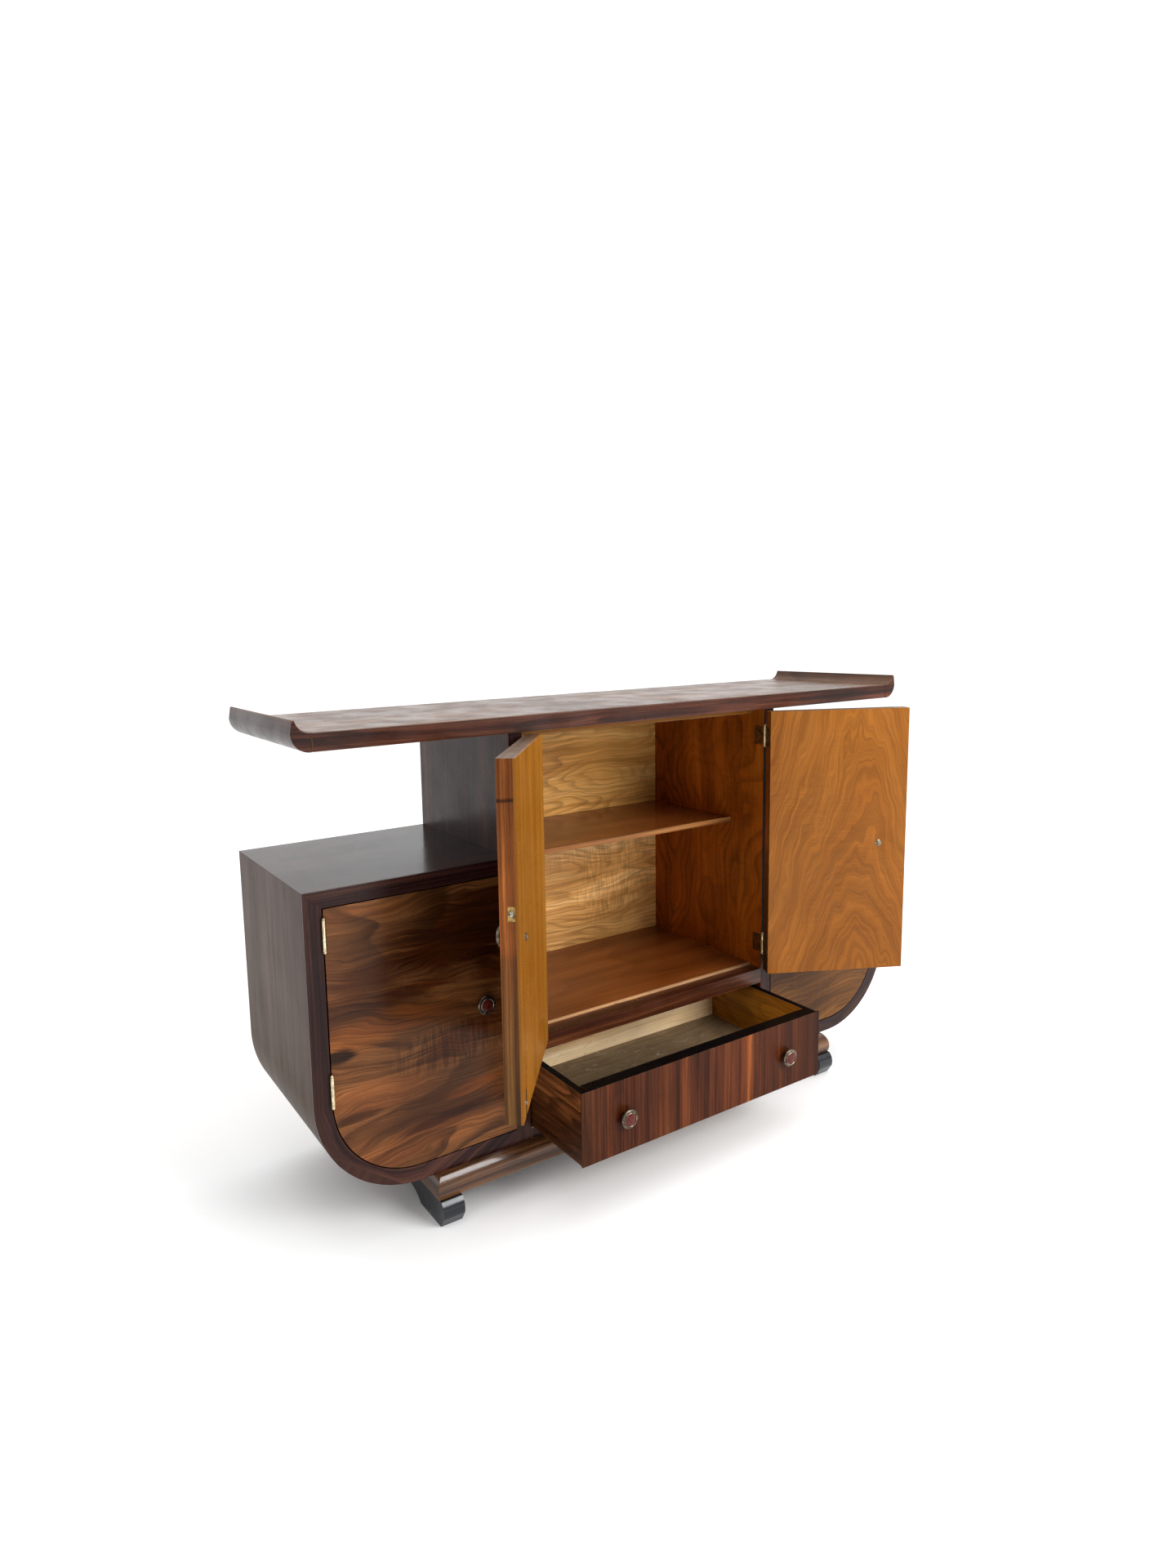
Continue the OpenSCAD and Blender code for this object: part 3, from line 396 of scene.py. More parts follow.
WOODS = {
    "slab_top": dict(
        tones=[(0.060, 0.024, 0.010), (0.12, 0.050, 0.021), (0.19, 0.090, 0.042)], flow=0.012,
        bands=30, contrast=0.7, rings=9, ring_depth=0.5, rough=0.3, gloss=0.28, blotch=0.2),
    "slab_edge": dict(
        tones=[(0.010, 0.0023, 0.0014), (0.045, 0.011, 0.0048), (0.109, 0.034, 0.016)], flow=0.008,
        bands=60, contrast=0.7, rings=9, ring_depth=0.6, ring_size=(1.6, 22), lines=0.35,
        rough=0.28, gloss=0.22, blotch=0.35),
    "walnut_case": dict(
        tones=[(0.013, 0.0042, 0.0029), (0.040, 0.014, 0.0076), (0.100, 0.036, 0.018)], flow=0.014,
        bands=26, contrast=0.65, rings=8, ring_depth=0.5, lines=0.4, rough=0.3, gloss=0.2),
    "wing_top": dict(
        tones=[(0.0088, 0.0031, 0.0015), (0.030, 0.0087, 0.004), (0.062, 0.019, 0.009)], flow=0.014,
        bands=26, contrast=0.6, rings=8, ring_depth=0.5, lines=0.4, rough=0.16, gloss=0.25),
    # The wing sides' greyish-purple tones and their tints by height, greyer above and browner
    # below, are a painted reflection of the studio.
    "wing_walnut_painted_reflection": dict(
        tones=[(0.058, 0.037, 0.030), (0.088, 0.058, 0.047), (0.120, 0.082, 0.067)], flow=0.014,
        wobble=0.1, bands=30, contrast=0.45, rings=6, ring_depth=0.3, lines=0.22, rough=0.42,
        gloss=0.07, blotch=0.06, waviness=0.0, relief=0.1, dulling=0.2, tint_span=(0.1, 0.7),
        tint_on=0, tints=((0.0, (0.66, 0.54, 0.30)), (0.30, (0.74, 0.62, 0.40)),
                          (0.60, (1.0, 1.0, 1.0)), (1.0, (0.95, 0.95, 1.0)))),
    "dark_edging": dict(
        tones=[(0.008, 0.0025, 0.0024), (0.028, 0.0088, 0.0072), (0.071, 0.025, 0.016)], flow=0.006,
        bands=60, contrast=0.6, lines=0.4, rough=0.28, gloss=0.15),
    "figured_walnut": dict(
        tones=[(0.042, 0.012, 0.0035), (0.111, 0.037, 0.011), (0.180, 0.067, 0.020),
               (0.261, 0.099, 0.029)],
        flow=0.085, wobble=0.10, bands=10, contrast=0.5, rings=12, ring_depth=0.85,
        ring_size=(1.4, 5.0), lines=0.30, ripple=0.26, ripple_at=(-0.50, 0.340, 0.13, 0.05),
        rough=0.24, gloss=0.14, blotch=0.2, pools=(
            # The first two pools, dark and at the upper right next to the open tower door, are
            # painted shadow of that door.
            (-0.45, 0.550, 0.20, 0.090, 0.10, (0.30, 0.19, 0.11)),
            (-0.40, 0.47, 0.06, 0.07, 0.0, (0.45, 0.30, 0.18)),
            (-0.64, 0.51, 0.11, 0.050, 0.15, (0.55, 0.45, 0.36)),
            (-0.55, 0.468, 0.13, 0.022, 0.1, (0.50, 0.35, 0.25)),
            (-0.60, 0.415, 0.18, 0.036, 0.12, (1.75, 1.50, 1.10)),
            (-0.45, 0.350, 0.12, 0.040, 0.15, (0.60, 0.45, 0.36)),
            (-0.712, 0.377, 0.036, 0.015, 0.0, (0.10, 0.10, 0.10)),
            (-0.64, 0.290, 0.12, 0.030, 0.0, (1.25, 1.10, 1.05)),
            (-0.455, 0.246, 0.06, 0.012, 0.1, (1.9, 1.6, 1.2)),
            (-0.60, 0.170, 0.20, 0.034, 0.05, (1.7, 1.6, 1.55)),
            (-0.66, 0.625, 0.12, 0.020, 0.0, (1.0, 0.9, 0.8)),
            (-0.69, 0.255, 0.06, 0.010, 0.0, (0.40, 0.36, 0.36)),
            (-0.50, 0.205, 0.12, 0.010, 0.1, (0.55, 0.45, 0.42)))),
    "golden_walnut": dict(
        tones=[(0.047, 0.014, 0.0018), (0.120, 0.043, 0.0056), (0.215, 0.086, 0.013)], flow=0.07,
        bands=12, contrast=0.5, rings=8, ring_depth=0.7, ring_size=(2, 7), ripple=0.1,
        lines=0.35, rough=0.24, gloss=0.12),
    "door_walnut": dict(
        tones=[(0.020, 0.006, 0.002), (0.080, 0.028, 0.010), (0.20, 0.080, 0.028)], flow=0.05,
        bands=14, contrast=0.6, rings=9, ring_depth=0.7, ring_size=(1.7, 6.5), ripple=0.15,
        rough=0.24, gloss=0.28),
    "door_edge": dict(
        tones=[(0.068, 0.019, 0.0057), (0.176, 0.052, 0.012), (0.340, 0.113, 0.028)], flow=0.003,
        bands=80, contrast=0.5, lines=0.35, rough=0.38, gloss=0.10, scuffs=0.15,
        scuff_tone=(0.02, 0.008, 0.004), tint_span=(0.31, 0.91), tint_on=0, tints=(
            (0.0, (0.50, 0.72, 0.80)), (0.30, (0.62, 0.80, 0.85)), (0.46, (0.70, 0.75, 0.75)),
            (0.50, (1.15, 1.10, 0.95)), (0.886, (1.15, 1.10, 0.95)), (0.890, (0.3, 0.3, 0.3)),
            (0.896, (0.3, 0.3, 0.3)), (0.900, (1.2, 1.1, 0.9)), (1.0, (1.1, 1.05, 0.9)))),
    "striped_walnut": dict(
        tones=[(0.026, 0.0056, 0.0018), (0.074, 0.018, 0.0056), (0.124, 0.033, 0.011)], flow=0.004,
        bands=42, contrast=0.6, rings=6, ring_depth=0.45, ring_size=(1.2, 14), lines=0.4,
        rough=0.3, gloss=0.07, blotch=0.12, tint_span=(-0.32, 0.32), tints=(
            (0.0, (1.0, 1.25, 1.45)), (0.09, (0.95, 1.0, 1.05)), (0.10, (1.4, 1.4, 1.3)),
            (0.115, (0.95, 0.95, 0.95)), (0.20, (0.85, 0.82, 0.8)), (0.27, (0.75, 0.75, 0.75)),
            (0.31, (1.35, 1.35, 1.1)), (0.38, (1.25, 1.25, 1.1)), (0.43, (0.90, 0.90, 0.85)),
            (0.55, (1.0, 0.95, 0.85)), (0.61, (0.80, 0.74, 0.65)), (0.655, (1.1, 1.0, 0.8)),
            (0.668, (2.6, 2.8, 1.9)), (0.678, (2.4, 2.5, 1.7)), (0.690, (0.80, 0.75, 0.65)),
            (0.88, (0.70, 0.62, 0.42)), (1.0, (0.52, 0.46, 0.32)))),
    "drawer_side": dict(
        tones=[(0.028, 0.0076, 0.0016), (0.110, 0.032, 0.008), (0.260, 0.091, 0.026)], flow=0.03,
        bands=26, contrast=0.65, rings=8, ring_depth=0.8, ring_size=(4, 12), lines=0.45,
        rough=0.3, gloss=0.14),
    "rail_walnut": dict(
        tones=[(0.021, 0.0052, 0.0026), (0.062, 0.017, 0.0065), (0.156, 0.052, 0.018)], flow=0.006,
        bands=60, contrast=0.7, rings=6, ring_depth=0.5, ring_size=(1.6, 24), rough=0.3,
        gloss=0.25),
    "honey_lining": dict(
        tones=[(0.168, 0.055, 0.0046), (0.227, 0.083, 0.0068), (0.277, 0.112, 0.014)], flow=0.006,
        wobble=0.05, bands=30, contrast=0.55, rings=3, ring_depth=0.12, ring_size=(1.2, 9),
        lines=0.10, pores=0.0, rough=0.34, gloss=0.12, blotch=0.10, waviness=0.0, relief=0.0),
    "swirled_lining": dict(
        tones=[(0.179, 0.053, 0.0047), (0.237, 0.076, 0.0071), (0.299, 0.104, 0.012)], flow=0.05,
        wobble=0.5, bands=36, contrast=0.4, rings=15, ring_depth=0.15, ring_size=(1.8, 12),
        ripple=0.05, lines=0.2, pores=0.05, rough=0.32, gloss=0.14, blotch=0.12,
        waviness=0.3, relief=0.1, chevron=0.8, chevron_centre=-0.05),
    "flame_lining": dict(
        tones=[(0.15, 0.032, 0.002), (0.32, 0.078, 0.004), (0.48, 0.14, 0.010)], flow=0.08,
        wobble=0.14, bands=13, contrast=0.4, rings=19, ring_depth=0.62, ring_size=(2.6, 5.5),
        ripple=0.06, lines=0.16, pores=0.05, rough=0.3, gloss=0.12, blotch=0.2, relief=0.3),
    "golden_back": dict(
        tones=[(0.39, 0.165, 0.036), (0.66, 0.33, 0.092), (0.92, 0.58, 0.23)], flow=0.045,
        wobble=0.2, bands=20, contrast=0.75, rings=15, ring_depth=0.48, ring_size=(2.2, 13),
        ripple=0.14, lines=0.2, pores=0.1, rough=0.35, gloss=0.16, blotch=0.2, relief=0.4,
        tint_span=(0.3, 0.92), tints=(
            (0.0, (1.15, 1.2, 1.35)), (0.48, (1.05, 1.08, 1.2)), (0.62, (1.05, 1.05, 0.95)),
            (1.0, (0.95, 0.92, 0.80)))),
    "red_polished_wood": dict(
        tones=[(0.105, 0.026, 0.004), (0.17, 0.045, 0.008), (0.25, 0.074, 0.014)], flow=0.02,
        bands=14, contrast=0.4, rings=5, ring_depth=0.3, lines=0.12, pores=0.08, rough=0.18,
        gloss=0.25, blotch=0.15),
    "bare_lipping": dict(
        tones=[(0.30, 0.15, 0.065), (0.48, 0.27, 0.13), (0.60, 0.38, 0.21)], flow=0.004,
        bands=60, contrast=0.5, pores=0.2, rough=0.55, gloss=0.1, scuffs=0.6,
        scuff_tone=(0.12, 0.045, 0.016)),
    "pink_lipping": dict(
        tones=[(0.117, 0.041, 0.0096), (0.225, 0.086, 0.023), (0.360, 0.162, 0.051)], flow=0.004,
        bands=60, contrast=0.55, lines=0.3, pores=0.15, rough=0.45, gloss=0.15),
    "plain_plywood": dict(
        tones=[(0.20, 0.125, 0.055), (0.29, 0.19, 0.095), (0.38, 0.27, 0.15)], flow=0.02,
        bands=22, contrast=0.4, rings=10, ring_depth=0.3, pores=0.2, rough=0.6, gloss=0.1),
    "drawer_bottom": dict(
        tones=[(0.150, 0.098, 0.050), (0.215, 0.145, 0.078), (0.285, 0.200, 0.115)], flow=0.03,
        bands=14, contrast=0.4, rings=9, ring_depth=0.3, ring_size=(3, 8), pores=0.2, rough=0.5,
        gloss=0.25, blotch=0.3, scuffs=0.30, scuff_tone=(0.66, 0.58, 0.46)),
    "pale_back_board": dict(
        tones=[(0.693, 0.451, 0.212), (0.903, 0.686, 0.408), (0.950, 0.813, 0.578)], flow=0.02,
        bands=30, contrast=0.45, lines=0.1, pores=0.2, rough=0.6, gloss=0.1, blotch=0.2,
        scuffs=0.6, scuff_tone=(0.45, 0.26, 0.11)),
    "drawer_lining": dict(
        tones=[(0.264, 0.096, 0.0063), (0.449, 0.176, 0.011), (0.660, 0.290, 0.025)], flow=0.03,
        bands=20, contrast=0.5, rings=8, ring_depth=0.45, ring_size=(4, 12), pores=0.2,
        rough=0.4, gloss=0.2, blotch=0.3),
    "polished_plinth": dict(
        tones=[(0.040, 0.013, 0.004), (0.11, 0.042, 0.013), (0.22, 0.095, 0.032)], flow=0.006,
        bands=60, contrast=0.7, rings=5, ring_depth=0.5, ring_size=(1.6, 24), lines=0.35,
        rough=0.18, gloss=0.4, coat=0.2),
    # Near black: the drawer's top edges, and painted shade on the faces in the gaps round the wing
    # doors.
    "black_edge_and_gap_shade": dict(
        tones=[(0.0018, 0.0018, 0.0018), (0.0024, 0.0022, 0.0022), (0.0036, 0.003, 0.003)],
        flow=0.004, bands=60, contrast=0.4, pores=0.0, rough=0.35, gloss=0.04),
    "worn_arris": dict(
        tones=[(0.060, 0.024, 0.010), (0.13, 0.060, 0.028), (0.26, 0.14, 0.075)], flow=0.004,
        bands=60, contrast=0.6, pores=0.1, rough=0.4, gloss=0.15),
}

METALS = {
    "aged_knob_metal": ((0.20, 0.15, 0.11), (0.040, 0.030, 0.022), 0.36),
    "rubbed_rim": ((0.36, 0.29, 0.22), (0.09, 0.07, 0.05), 0.28),
    "hinge_brass": ((0.78, 0.68, 0.46), (0.44, 0.35, 0.20), 0.28),
    # Darker brass for hinge leaves: partly tarnish, partly painted shade of the gap they sit in.
    "tarnish_and_gap_shade_brass": ((0.20, 0.125, 0.050), (0.075, 0.045, 0.020), 0.45),
    "lock_brass": ((0.42, 0.27, 0.09), (0.14, 0.085, 0.03), 0.38),
    "dark_steel": ((0.07, 0.06, 0.045), (0.02, 0.016, 0.012), 0.4),
    "steel": ((0.50, 0.48, 0.44), (0.20, 0.18, 0.15), 0.32),
    "nut_metal": ((0.36, 0.29, 0.19), (0.09, 0.07, 0.045), 0.3),
}
FINISHES = {}


def made_finish(name):
    if name in WOODS:
        return wood(name, **WOODS[name])
    if name in METALS:
        return plain_metal(name, *METALS[name])
    if name == "black_lacquer":
        return lacquer(name, (0.004, 0.006, 0.010), (0.13, 0.12, 0.11), 0.2)
    return enamel(name, (0.095, 0.012, 0.008))


def finish(name):
    if name not in FINISHES:
        FINISHES[name] = made_finish(name)
    return FINISHES[name]


# Modelling


def deselect():
    if bpy.context.object and bpy.context.object.mode != "OBJECT":
        bpy.ops.object.mode_set(mode="OBJECT")
    bpy.ops.object.select_all(action="DESELECT")


def take(piece):
    """Makes a piece the only selected and the active object."""
    deselect()
    piece.select_set(True)
    bpy.context.view_layer.objects.active = piece
    return piece


def named(name):
    piece = bpy.context.active_object
    piece.name = name
    piece.data.name = name
    return piece


def cube(name, low, high):
    """A cube primitive at its size and place, in the frame."""
    deselect()
    low, high = Vector(low), Vector(high)
    bpy.ops.mesh.primitive_cube_add(size=1, location=(low + high) / 2, scale=high - low)
    bpy.ops.object.transform_apply(location=True, rotation=True, scale=True)
    return named(name)


def prism(name, outline, start, end):
    """An outline of (x, z) points, filled and extruded along Y from start to end."""
    deselect()
    bpy.ops.mesh.primitive_circle_add(vertices=len(outline), radius=1, fill_type="NGON")
    piece = named(name)
    for vertex, (x, z) in zip(piece.data.vertices, outline):
        vertex.co = (x, start, z)
    bpy.ops.object.mode_set(mode="EDIT")
    bpy.ops.mesh.select_all(action="SELECT")
    bpy.ops.mesh.extrude_region_move(TRANSFORM_OT_translate={"value": Y * (end - start)})
    bpy.ops.mesh.select_all(action="SELECT")
    bpy.ops.mesh.normals_make_consistent(inside=False)
    bpy.ops.object.mode_set(mode="OBJECT")
    return piece


def turned(name, rings):
    """A piece turned about Z: each ring is (radius, height) in millimetres, from the bottom up."""
    deselect()
    radius, height = rings[0]
    bpy.ops.mesh.primitive_circle_add(
        vertices=sizes().lathe_steps, radius=radius * MM, fill_type="NGON",
        location=(0, 0, height * MM))
    piece = named(name)
    bpy.ops.object.transform_apply(location=True, rotation=True, scale=True)
    bpy.ops.object.mode_set(mode="EDIT")
    bpy.ops.mesh.select_all(action="SELECT")
    for next_radius, next_height in rings[1:]:
        bpy.ops.mesh.extrude_region_move(
            TRANSFORM_OT_translate={"value": (0, 0, (next_height - height) * MM)})
        share = next_radius / radius
        bpy.ops.transform.resize(value=(share, share, 1), center_override=(0, 0, next_height * MM))
        radius, height = next_radius, next_height
    bpy.ops.mesh.select_all(action="SELECT")
    bpy.ops.mesh.remove_doubles(threshold=1e-6)
    bpy.ops.mesh.normals_make_consistent(inside=False)
    bpy.ops.object.mode_set(mode="OBJECT")
    return piece


def copy_of(node):
    """A merged copy of a CAD node's mesh, with its flat faces whole again."""
    piece = frame["nodes"][node].copy()
    piece.data = piece.data.copy()
    piece.name = node + ".dressed"
    piece.data.name = piece.name
    piece.parent = None
    for key in list(piece.keys()):
        del piece[key]
    bpy.context.scene.collection.objects.link(piece)
    piece.hide_render = False
    piece.hide_viewport = False
    take(piece)
    piece.data.materials.clear()
    bpy.ops.object.mode_set(mode="EDIT")
    bpy.ops.mesh.select_all(action="SELECT")
    bpy.ops.mesh.remove_doubles(threshold=1e-6)
    bpy.ops.mesh.dissolve_limited(angle_limit=math.radians(0.5))
    bpy.ops.object.mode_set(mode="OBJECT")
    if piece.data.has_custom_normals:
        bpy.ops.mesh.customdata_custom_splitnormals_clear()
    return piece


def eased(piece, width, steps=3, angle=32.0, edge_slot=-1):
    """Rounds the piece's sharp edges and smooths its shading."""
    take(piece)
    bevel = piece.modifiers.new("edges", "BEVEL")
    bevel.width = width
    bevel.segments = steps
    bevel.limit_method = "ANGLE"
    bevel.angle_limit = math.radians(angle)
    bevel.harden_normals = True
    bevel.material = edge_slot
    bpy.ops.object.shade_smooth()
    bpy.ops.object.modifier_apply(modifier=bevel.name)
    return piece


def smooth(piece, angle):
    take(piece)
    bpy.ops.object.shade_smooth_by_angle(angle=math.radians(angle))


def lay_grain(piece, along, across, shift=(0, 0, 0), path=None, where=None):
    """Stores where each point lies in its wood: metres along, across and into the grain."""
    mesh = piece.data
    if "grain" not in mesh.attributes:
        mesh.attributes.new("grain", "FLOAT_VECTOR", "CORNER")
    layer = mesh.attributes["grain"]
    into = along.cross(across)
    shift = Vector(shift)
    for face in mesh.polygons:
        if where and not where(face.center, face.normal):
            continue
        for corner in face.loop_indices:
            point = mesh.vertices[mesh.loops[corner].vertex_index].co
            point = path(point) if path else point
            layer.data[corner].vector = Vector(
                (point.dot(along), point.dot(across), point.dot(into))) + shift


def coat(piece, *finish_names):
    """Gives the piece its finishes, one a slot."""
    piece.data.materials.clear()
    for name in finish_names:
        piece.data.materials.append(finish(name))


def paint_faces(piece, slot, chosen):
    """Puts the faces that chosen picks, by centre and normal, into a finish slot."""
    for face in piece.data.polygons:
        if chosen(face.center, face.normal):
            face.material_index = slot


def mount(piece, body, node):
    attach(piece, body)
    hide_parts(node)
    return piece


def arc(centre, radius, start, end, steps):
    """Points of an arc, angles in degrees from the first axis towards the second."""
    return [
        (centre[0] + radius * math.cos(math.radians(start + (end - start) * i / steps)),
         centre[1] + radius * math.sin(math.radians(start + (end - start) * i / steps)))
        for i in range(steps + 1)]


def mirrored(outline):
    """The same outline for the right side."""
    return [(-a, b) for a, b in reversed(outline)]


def dressed(node, *looks, width, steps=3, angle=32.0, edge_slot=-1):
    """A copy of a CAD node with its finishes and eased edges."""
    piece = copy_of(node)
    coat(piece, *looks)
    return eased(piece, width, steps, angle, edge_slot)


def plank(node, *looks, width):
    """A cube of a CAD board's size, with its finishes and eased edges."""
    piece = cube(node + ".board", *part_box(node))
    coat(piece, *looks)
    return eased(piece, width, edge_slot=1)


def board(node, along, across, body="carcass", look="walnut_case", edge="worn_arris",
          width=None, shift=(0, 0, 0)):
    """A plain board of the CAD's size with eased, slightly worn edges."""
    piece = plank(node, look, edge, width=width or sizes().arris)
    lay_grain(piece, along, across, shift)
    return mount(piece, body, node)


def fitting(node, body, look):
    """A small metal piece of the CAD's shape with broken edges."""
    mount(dressed(node, look, width=sizes().metal_arris, steps=2), body, node)


# Doors are modelled closed and then turned to where they stand


def hinge_of(joint_name):
    """The turn that takes a door from closed to where it stands."""
    joint = JOINTS[joint_name]
    place = Vector(joint["pos_m"])
    turn = Matrix.Rotation(math.radians(-min(joint["range_deg"])), 4, Vector(joint["axis"]))
    return Matrix.Translation(place) @ turn @ Matrix.Translation(-place)


def closed_box(node, stand):
    """The box of a door's node with the door closed."""
    back = stand.inverted()
    points = [back @ vertex.co for vertex in frame["nodes"][node].data.vertices]
    low = Vector([min(p[i] for p in points) for i in range(3)])
    high = Vector([max(p[i] for p in points) for i in range(3)])
    return low, high


# Operators, one for each piece or group of like pieces


class SIDEBOARD_OT_top(bpy.types.Operator):
    """Floating top: the slab, its two scooped ends and the board under it"""
    bl_idname = "sideboard.top"
    bl_label = "Top"

    scoop = 28 * MM
    tip_flat = 4.8 * MM
    tip_slant = Vector((3.5, 1.8)) * MM

    def end_outline(self, side):
        low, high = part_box("top_end_" + side)
        slab_low, slab_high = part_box("top_board")
        thick = slab_high.z - slab_low.z
        outer = max(abs(low.x), abs(high.x))
        joint = slab_high.x
        tip = high.z
        steps = sizes().arc_steps
        start = math.degrees(math.asin((slab_high.z + self.scoop - tip) / self.scoop))
        outline = [(-joint, slab_low.z)]
        outline += arc((thick - outer, slab_high.z), thick, 270, 180, steps)
        outline += [(-outer + self.tip_slant.x, tip - self.tip_slant.y),
                    (-outer + self.tip_flat, tip)]
        outline += arc((-joint, slab_high.z + self.scoop), self.scoop, 180 + start, 270, steps)
        return outline if side == "left" else mirrored(outline)

    def execute(self, context):
        slab = board("top_board", X, Y, look="slab_top", shift=(0.3, 0, 0),
                     width=2.0 * MM)
        slab.data.materials.append(finish("slab_edge"))
        paint_faces(slab, 2, lambda c, n: abs(n.y) > FACING)
        lay_grain(slab, X, Z, (0.3, 0.7, 0), where=lambda c, n: abs(n.y) > FACING)
        for side in SIDES:
            node = "top_end_" + side
            low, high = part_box(node)
            end = prism(node + ".scoop", self.end_outline(side), low.y, high.y)
            coat(end, "slab_top", "worn_arris", "slab_edge")
            eased(end, 1.2 * MM, edge_slot=1, angle=SHARP_ONLY)
            paint_faces(end, 2, lambda c, n: abs(n.y) > FACING or n.z < 0.3)
            lay_grain(end, Y, X, (SIDES[side] * 2.0, 0.4, 0))
            lay_grain(end, X, Z, (0.3, 0.7, 0), where=lambda c, n: abs(n.y) > FACING)
            mount(end, "carcass", node)
        board("sub_top", X, Y, look="honey_lining")
        return {"FINISHED"}


class SIDEBOARD_OT_tower(bpy.types.Operator):
    """Tower: its sides, rail, floor, shelf, back and lippings"""
    bl_idname = "sideboard.tower"
    bl_label = "Tower"

    def side(self, side):
        node = "tower_side_" + side
        piece = plank(node, "walnut_case", "worn_arris", "flame_lining", "dark_edging",
                      width=sizes().arris)
        paint_faces(piece, 2, lambda c, n: n.x * SIDES[side] < -FACING)
        paint_faces(piece, 3, lambda c, n: n.y < -FACING)
        lay_grain(piece, Z, Y, (0.7 * SIDES[side], 0.2, 0))
        mount(piece, "carcass", node)

    def execute(self, context):
        for side in SIDES:
            self.side(side)
        back = board("tower_back", X, Z, look="golden_back", edge="golden_back",
                     width=THIN_EDGE, shift=(0.4, 0, 0))
        back.data.materials.append(finish("plain_plywood"))
        paint_faces(back, 2, lambda c, n: n.y > -0.5)
        board("tower_floor", X, Y, look="red_polished_wood")
        board("floor_lip", X, Z, look="bare_lipping", edge="bare_lipping", width=0.6 * MM)
        rail = dressed("tower_rail", "rail_walnut", "worn_arris", width=sizes().arris, edge_slot=1)
        lay_grain(rail, X, Z, (0.2, 0.5, 0.3))
        mount(rail, "carcass", "tower_rail")
        board("shelf", X, Y, look="red_polished_wood", shift=(0.9, 0.3, 0.2))
        board("shelf_lip", X, Z, look="pink_lipping", edge="pink_lipping", width=0.8 * MM)
        fitting("shelf_pins", "carcass", "steel")
        fitting("bolt_keeper", "carcass", "lock_brass")
        return {"FINISHED"}


class SIDEBOARD_OT_wings(bpy.types.Operator):
    """Wing cupboards: tops, bent sides, bottoms, edgings and backs"""
    bl_idname = "sideboard.wings"
    bl_label = "Wing cupboards"

    def round_corner(self, side):
        """Follows the side down and round its corner, so that the grain bends with it."""
        low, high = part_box("wing_side_" + side)
        radius = high.x - low.x
        sign = SIDES[side]
        centre_x = (low.x if sign > 0 else high.x)
        centre_z = low.z + radius

        def path(point):
            if point.z > centre_z:
                return Vector((abs(point.x), point.y, point.z))
            dx = (point.x - centre_x) * sign
            dz = centre_z - point.z
            angle = math.atan2(dz, max(dx, 1e-9))
            return Vector((abs(centre_x) + math.hypot(dx, dz), point.y, centre_z - angle * radius))
        return path

    def side(self, side):
        node = "wing_side_" + side
        piece = copy_of(node)
        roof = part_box("wing_top_" + side)[1].z
        outer = max(abs(corner.x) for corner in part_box(node))
        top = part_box(node)[1].z
        for vertex in piece.data.vertices:
            if vertex.co.z > top - MM and abs(vertex.co.x) > outer - MM:
                vertex.co.z = roof
        # The sides' finish holds a painted reflection of the studio, greyer above and browner
        # below.
        coat(piece, "wing_walnut_painted_reflection")
        eased(piece, THIN_EDGE, 2, angle=SHARP_ONLY)
        lay_grain(piece, Z, Y, (0, SIDES[side] * 1.3, 0), self.round_corner(side))
        mount(piece, "carcass", node)

    def roof(self, side):
        """The top is mitred to the side, so that no seam shows outside."""
        node = "wing_top_" + side
        low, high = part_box(node)
        piece = cube(node + ".board", low, high)
        outer = max(abs(low.x), abs(high.x))
        for vertex in piece.data.vertices:
            if vertex.co.z < high.z - MM and abs(vertex.co.x) > outer - MM:
                vertex.co.x = math.copysign(outer - WING_SIDE_THICK, vertex.co.x)
        coat(piece, "wing_top")
        eased(piece, THIN_EDGE, 2, angle=SHARP_ONLY)
        lay_grain(piece, X, Y, (0.1, SIDES[side], 0))
        mount(piece, "carcass", node)

    def edging(self, side):
        node = "wing_edging_" + side
        piece = copy_of(node)
        low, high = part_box(node)
        corner = Vector((low.x if side == "left" else high.x, low.y, high.z))
        across = Vector((-SIDES[side] * WING_TOP_THICK, 0, WING_SIDE_THICK)).normalized()
        bpy.ops.object.mode_set(mode="EDIT")
        bpy.ops.mesh.select_all(action="SELECT")
        bpy.ops.mesh.bisect(plane_co=corner, plane_no=across)
        bpy.ops.object.mode_set(mode="OBJECT")
        coat(piece, "dark_edging", "black_edge_and_gap_shade")
        eased(piece, DOOR_GAP_EDGE, 2, angle=SHARP_ONLY)
        middle = (low + high) / 2
        # The edging's faces toward the door gap are painted near black, as painted shade in the
        # gap.
        paint_faces(piece, 1, lambda c, n: abs(n.y) < 0.3 and (middle - c).dot(n) > 0)
        lay_grain(piece, Z, X, (SIDES[side] * 0.6, 0, 0), self.round_corner(side))
        lay_grain(piece, X, Z, where=lambda c, n: (c - corner).dot(across) > 0)
        mount(piece, "carcass", node)

    def execute(self, context):
        for side in SIDES:
            self.roof(side)
            # The bottoms share the wing sides' finish and its painted reflection.
            board("wing_bottom_" + side, X, Y, look="wing_walnut_painted_reflection")
            self.side(side)
            self.edging(side)
        backs = dressed("wing_backs", "plain_plywood", width=0.6 * MM, steps=2, angle=SHARP_ONLY)
        lay_grain(backs, X, Z)
        mount(backs, "carcass", "wing_backs")
        return {"FINISHED"}


